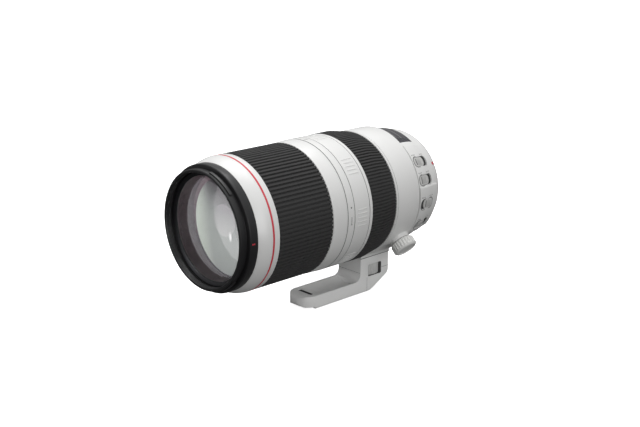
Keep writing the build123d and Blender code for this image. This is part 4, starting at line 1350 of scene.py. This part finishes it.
def block(across: Pair, along: Pair, upright: Pair) -> Mesh:
    """A thin straight strip between two corners, in millimetres.

    Args:
        across: Its two places along x.
        along: Its two places along y.
        upright: Its two places along z.

    Returns:
        The mesh.
    """
    shape = bmesh.new()
    corners = [[[shape.verts.new(Vector((x, y, z)) * MM) for z in upright] for y in along]
               for x in across]
    (a, b), (c, d) = corners
    for loop in ((a[0], a[1], b[1], b[0]), (c[0], d[0], d[1], c[1]), (a[0], c[0], c[1], a[1]),
                 (b[0], b[1], d[1], d[0]), (a[0], b[0], d[0], c[0]), (a[1], c[1], d[1], b[1])):
        shape.faces.new(loop)
    return finish_mesh(shape, "strip", sharp=30.0, weld=0.000001)


@dataclass
class Foot(Assembly):
    """The detachable tripod foot."""

    body: str = "foot"
    half_width: float = 11.5

    def build(self) -> None:
        """Build and dress every piece."""
        self.softened("foot_casting", "tripod_foot", 30.0, 0.45, FOOT_ENAMEL, "white_paint")
        # The walls of the wheel's room take painted shade.
        self.shade_wheel_room()
        self.add("foot_creases", self.creases(), INK, "black_plastic")
        self.add("trough_slot", self.slot(), SEAL, "seal_rubber")
        self.dress(BRASS, "tripod_bush")

    def shade_wheel_room(self) -> None:
        """Paint the walls of the wheel's room dark grey: painted shade in the recess."""
        mesh = self.pieces[0].data
        mesh.materials.append(RECESS_SHADE_GREY.build())
        for face in mesh.polygons:
            centre = face.center / MM
            if (abs(centre.x) < self.half_width - 0.05 and -64.1 < centre.z < -54.3
                    and -53.2 < centre.y < -28.8):
                face.material_index = 1

    def creases(self) -> Mesh:
        """The fine joints between the foot's castings, as thin dark lines."""
        edge = self.half_width
        lines = [block((-edge + 0.4, edge - 0.4), (-56.02, -55.8), (-59.6, -59.44))]
        for side in (1, -1):
            for proud, along, upright in ((0.03, (-56.0, -25.8), (-48.72, -48.28)),
                                          (0.02, (-49.12, -48.96), (-75.0, -64.2)),
                                          (0.02, (-33.8, -26.2), (-59.6, -59.44))):
                across = sorted((side * (edge - 0.2), side * (edge + proud)))
                lines.append(block(tuple(across), along, upright))
        return joined("foot_creases", lines)

    def slot(self) -> Mesh:
        """The dark lining of the slot near the foot's tip."""
        place = Matrix.Translation(Vector((0.0, -100.5, -69.05)) * MM)
        floor = slab(13.9, 3.1, 0.1, 1.5, 0.02, 8)
        floor.transform(place)
        wall = outline_ring(13.65, 2.85, 1.4, 0.14, 3.1)
        wall.transform(place @ Matrix.Scale(MM, 4))
        return joined("trough_slot", [floor, wall])


@dataclass
class FootWheel(Assembly):
    """The wheel in the foot that holds it to the collar."""

    body: str = "foot_wheel"

    def build(self) -> None:
        """Build and dress every piece."""
        self.softened("foot_wheel_knurl", "foot_wheel", 30.0, 0.15, SWITCH_GREY, "white_paint")
        self.dress(PLATED, "foot_screw")


@dataclass
class RearBody(Assembly):
    """The rear barrel, the distance window and the switch panel."""

    body: str = "barrel"
    wells: tuple[Pair, ...] = ((56.0, 0.35), (74.5, 0.35), (98.0, 1.1), (121.0, 1.1))
    well_length: float = 14.0
    well_height: float = 7.6

    def build(self) -> None:
        """Build and dress every piece."""
        self.softened("rear_shell", "rear_barrel", 30.0, 0.18, ENAMEL, "white_paint")
        self.softened("window_pane", "distance_window", 30.0, 0.2, SMOKED, "smoked_window")
        self.softened("panel_shell", "switch_panel", 30.0, 0.22, ENAMEL, "white_paint")
        self.add("well_floors", self.floors(), BLACK_PLASTIC, "black_plastic")
        self.add("window_scale", self.scale(), SCALE_AND_SHADE_GREY, "smoked_window")
        self.add("panel_marks", self.marks(), INK, "black_plastic")
        self.add("well_rims", self.rims(), INK, "black_plastic")
        # Painted shade in the gaps between the rings.
        self.add("ring_gaps", self.gaps(), SHADOW_GREY, "black_plastic")
        # Painted shade in the groove before the switch panel.
        self.add("panel_edge", self.edge_line(), SCALE_AND_SHADE_GREY, "black_plastic")
        self.turned("rear_lip", [(36.4, -2.1), (37.75, -2.1), (37.45, -1.75), (36.4, -1.75)],
                    200, 0.05, SEAL, "seal_rubber")
        self.dress(CRIMSON, "mount_dot")

    def floors(self) -> Mesh:
        """The dark floors of the four switch wells."""
        floors = []
        for angle, rise in self.wells:
            floor = slab(self.well_length + 0.1, self.well_height + 0.1, 0.04, 3.2, 0.01, 8)
            floor.transform(radial_matrix(angle, PANEL_RADIUS + rise - 0.99, PANEL_Y, PANEL_SLOPE))
            floors.append(floor)
        return joined("well_floors", floors)

    def rims(self) -> Mesh:
        """A fine dark line round each well."""
        skin = Surface("switch_panel")
        size = (self.well_height + 0.1, self.well_length + 0.1)
        rims = [skin.laid(outline_ring(*size, 3.2, 0.4, 0.12), 43.2, angle, PANEL_Y)
                for angle, _ in self.wells]
        return joined("well_rims", rims)

    @staticmethod
    def gaps() -> Mesh:
        """Painted shade: dark rings laid in the bottoms of the gaps between the rings."""
        rings = [lathe("gap", [(radius - 1.2, y - 0.14), (radius, y - 0.14), (radius, y + 0.14),
                               (radius - 1.2, y + 0.14)], 180, 0.0)
                 for radius, y in ((47.0, -83.95), (47.05, -98.45), (47.05, -104.85),
                                   (45.25, -53.25))]
        return joined("ring_gaps", rings)

    @staticmethod
    def edge_line() -> Mesh:
        """Painted shade: dark strips laid in the groove between the collar and the front edge of
        the switch panel.
        """
        skin = Surface("rear_barrel")
        strips = [skin.laid(plate(1.5, 1.3, 0.3, 1), 43.0, 44.0 + step * 2.0, -29.75)
                  for step in range(46)]
        return joined("panel_edge", strips)

    def scale(self) -> Mesh:
        """The paler scale field seen through the window."""
        field_mesh = grid_slab(38.0, 11.0, 2.2, 0.02)
        return Surface("distance_window").laid(field_mesh, 43.0, 0.0, -22.4)

    def marks(self) -> Mesh:
        """Short generic marks beside the switches."""
        skin = Surface("switch_panel")
        offsets = (-6.2, -4.8, -3.4, 2.8, 4.4, 6.2)
        marks = [skin.laid(plate(0.8, 0.45), 42.8, angle - 7.2, PANEL_Y + offset)
                 for angle, _ in self.wells for offset in offsets]
        return joined("panel_marks", marks)


def grid_slab(length: float, width: float, corner: float, height: float) -> Mesh:
    """A thin rounded field in millimetres, cut finely enough to be bent.

    Args:
        length: Size round the barrel.
        width: Size along the axis.
        corner: Corner radius.
        height: Height above the surface.

    Returns:
        The closed mesh.
    """
    shape = bmesh.new()
    columns = 40
    rows = []
    for step in range(columns + 1):
        x = length * (step / columns - 0.5)
        inset = max(abs(x) - (length / 2 - corner), 0.0)
        half = width / 2 - (corner - math.sqrt(max(corner ** 2 - inset ** 2, 0.0)))
        half = max(half, 0.05)
        rows.append([shape.verts.new((x, y, z)) for y, z in (
            (-half, 0.0), (half, 0.0), (half, height), (0.0, height), (-half, height))])
    bridge(shape, rows)
    shape.faces.new(rows[0])
    shape.faces.new(rows[-1])
    return finish_mesh(shape, "field", sharp=40.0, weld=0.0001)


def outline_ring(length: float, width: float, corner: float, line: float,
                 height: float) -> Mesh:
    """A thin line round a rounded rectangle, in millimetres.

    Args:
        length: Inner size along x.
        width: Inner size along y.
        corner: Inner corner radius.
        line: The line's width.
        height: Its height above the surface.

    Returns:
        The closed mesh.
    """
    shape = bmesh.new()
    loops = [[shape.verts.new((x, y, z))
              for x, y in rounded_loop(length, width, corner, corner + reach, 8)]
             for reach, z in ((0.0, 0.0), (line, 0.0), (line, height), (0.0, height))]
    bridge(shape, loops + loops[:1])
    return finish_mesh(shape, "outline", sharp=40.0, weld=0.0001)


@dataclass
class Switch(Assembly):
    """One ribbed slider in the panel."""

    body: str = "focus_mode_switch"
    angle: float = 56.0
    rise: float = 0.35
    rest_end: int = 1
    travel: float = 3.0
    ribs: int = 4
    rib_pitch: float = 1.3

    def build(self) -> None:
        """Build and dress the slider and the dark grooves between its ribs."""
        self.softened(self.body + "_slider", self.body, 30.0, 0.08, SWITCH_GREY, "grey_switch")
        grooves = []
        for index in range(self.ribs + 1):
            groove = slab(0.62, 4.9, 0.03, 0.05, 0.01, 1)
            along = (index - self.ribs / 2) * self.rib_pitch - self.rest_end * self.travel / 2
            groove.transform(Matrix.Translation(Vector((along, 0.0, 0.0)) * MM))
            groove.transform(radial_matrix(self.angle, PANEL_RADIUS + self.rise - 0.31, PANEL_Y,
                                           PANEL_SLOPE))
            grooves.append(groove)
        self.add(self.body + "_grooves", joined(self.body + "_grooves", grooves), INK,
                 "grey_switch")


@dataclass
class Mount(Assembly):
    """The plated bayonet, its screws, the contacts and the rear seal."""

    body: str = "barrel"

    def build(self) -> None:
        """Build and dress every piece."""
        for name, node, edge, finish, slot in (
                ("bayonet_plate", "bayonet_ring", 0.15, PLATED, "bright_steel"),
                ("bayonet_screws", "mount_screws", 0.1, PLATED, "bright_steel"),
                ("seal_lip", "weather_seal", 0.1, SEAL, "seal_rubber"),
                ("throat_baffle", "rear_baffle", 0.2, BLACK_PLASTIC, "black_plastic"),
                ("contact_carrier", "contact_block", 0.15, BLACK_PLASTIC, "black_plastic"),
                ("contact_tips", "contact_pins", 0.1, GOLD, "gold_contact")):
            self.softened(name, node, 28.0, edge, finish, slot)


@dataclass
class Interior(Assembly):
    """The parts inside the barrel, which keep their CAD shapes."""

    body: str = "barrel"

    def build(self) -> None:
        """Dress the nodes that stay."""
        self.dress(ENAMEL, "main_barrel")
        self.dress(BLACK_ANODISED, "guide_tube", "inner_tube", "variator_cell", "focus_cell",
                   "stabiliser_frame", "stabiliser_cell", "rear_cell", "iris_ring", "iris_blades")
        self.dress(MACHINED, "rear_frame", "motor_stator", "motor_rotor")
        self.dress(BLACK_PLASTIC, "iris_housing", "stabiliser_housing")
        self.dress(SCALE_AND_SHADE_GREY, "distance_scale")
        self.dress(BOARD, "circuit_board")
        self.dress(LENS_GLASS, "variator_glass", "focus_glass", "stabiliser_glass", "rear_glass")


# --------------------------------------------------------------------------------------
# The studio
# --------------------------------------------------------------------------------------
def facing(place: Triple, aim: Triple) -> Euler:
    """The turn that points a light or the camera at a target.

    Args:
        place: Where it stands, in metres.
        aim: The target.

    Returns:
        The turn.
    """
    return (Vector(aim) - Vector(place)).to_track_quat("-Z", "Y").to_euler()


@dataclass
class Studio:
    """The floor, the lights, the surroundings and the camera."""

    floor_z: float = -0.0755
    floor_size: float = 12.0

    def build(self) -> None:
        """Set everything up."""
        self.floor()
        self.lights()
        self.surroundings()
        self.camera()

    def floor(self) -> None:
        """A plain pale floor that does not light the object from below."""
        shape = bmesh.new()
        half = self.floor_size / 2
        corners = [shape.verts.new((x * half, y * half, self.floor_z))
                   for x, y in ((-1, -1), (1, -1), (1, 1), (-1, 1))]
        shape.faces.new(corners)
        paper = Finish("floor_paper", (0.93, 0.93, 0.93), (0.91, 0.91, 0.91), 0.9, 0.03,
                       grain_size=3.0, grain_depth=0.01, specular=0.0)
        floor = new_piece("floor", poured(shape, bpy.data.meshes.new("floor")), paper)
        put(floor.data.materials[0].node_tree.nodes["Principled BSDF"],
            Emission_Color=(1.0, 1.0, 1.0, 1.0), Emission_Strength=0.82)
        floor.visible_diffuse = False
        floor.visible_glossy = False

    @staticmethod
    def lights() -> None:
        """A broad key from above and behind, and a soft fill from the camera's right."""
        for name, place, aim, size, power in (
                ("key_light", (-0.35, 0.10, 1.5), (0.0, -0.09, 0.0), 1.3, 15.5),
                ("side_fill", (1.6, -0.55, 0.25), (0.0, -0.09, -0.02), 1.0, 10.5),
                ("front_card", (-0.35, -1.7, 0.9), (0.0, -0.15, 0.0), 0.9, 6.0)):
            lamp = bpy.data.lights.new(name, "AREA")
            lamp.shape = "SQUARE"
            lamp.size = size
            lamp.energy = power
            light = bpy.data.objects.new(name, lamp)
            light.location = place
            light.rotation_euler = facing(place, aim)
            bpy.context.scene.collection.objects.link(light)

    @staticmethod
    def surroundings() -> None:
        """A pale sky that is bright above and dim below the floor."""
        world = bpy.data.worlds.new("studio")
        bpy.context.scene.world = world
        world.use_nodes = True
        nodes, links = world.node_tree.nodes, world.node_tree.links
        place = nodes.new("ShaderNodeTexCoord")
        split = nodes.new("ShaderNodeSeparateXYZ")
        links.new(place.outputs["Generated"], split.inputs["Vector"])
        ramp = nodes.new("ShaderNodeMapRange")
        put(ramp, From_Min=-0.25, From_Max=0.7, To_Min=0.07, To_Max=0.62)
        links.new(split.outputs["Z"], ramp.inputs["Value"])
        links.new(ramp.outputs["Result"], nodes["Background"].inputs["Strength"])
        put(nodes["Background"], Color=(1.0, 1.0, 1.0, 1.0))

    @staticmethod
    def camera() -> None:
        """The camera, level and looking along the barrel from its front right."""
        data = bpy.data.cameras.new("camera")
        data.sensor_fit = "HORIZONTAL"
        data.sensor_width = 36.0
        data.lens = 62.36
        data.shift_x = 0.0154
        data.shift_y = -0.0165
        data.clip_start = 0.01
        data.clip_end = 50.0
        camera = bpy.data.objects.new("camera", data)
        camera.location = (0.549, -0.6093, 0.2147)
        camera.rotation_euler = facing(camera.location, (0.0, -0.096, 0.0))
        bpy.context.scene.collection.objects.link(camera)
        bpy.context.scene.camera = camera


def main() -> None:
    """Build the lens and the studio, and report each piece."""
    logging.basicConfig(level=logging.INFO, format="%(name)s: %(message)s")
    assemblies: list[Assembly] = [
        FrontGroup(), ZoomRing(), IndexBand(), TensionRing(), FocusRing(), Collar(), CollarKnob(),
        Foot(), FootWheel(), RearBody(), Mount(), Interior()]
    assemblies += [
        Switch(body="focus_mode_switch"),
        Switch(body="focus_range_switch", angle=74.5),
        Switch(body="stabiliser_switch", angle=98.0, rise=1.1, rest_end=-1),
        Switch(body="stabiliser_mode_switch", angle=121.0, rise=1.1)]
    for assembly in assemblies:
        assembly.build()
        for piece in assembly.pieces:
            LOG.info("%s: %d faces on %s", piece.name, len(piece.data.polygons), assembly.body)
    Studio().build()
    bpy.context.scene.view_settings.view_transform = "Standard"


if __name__ == "__main__":
    main()
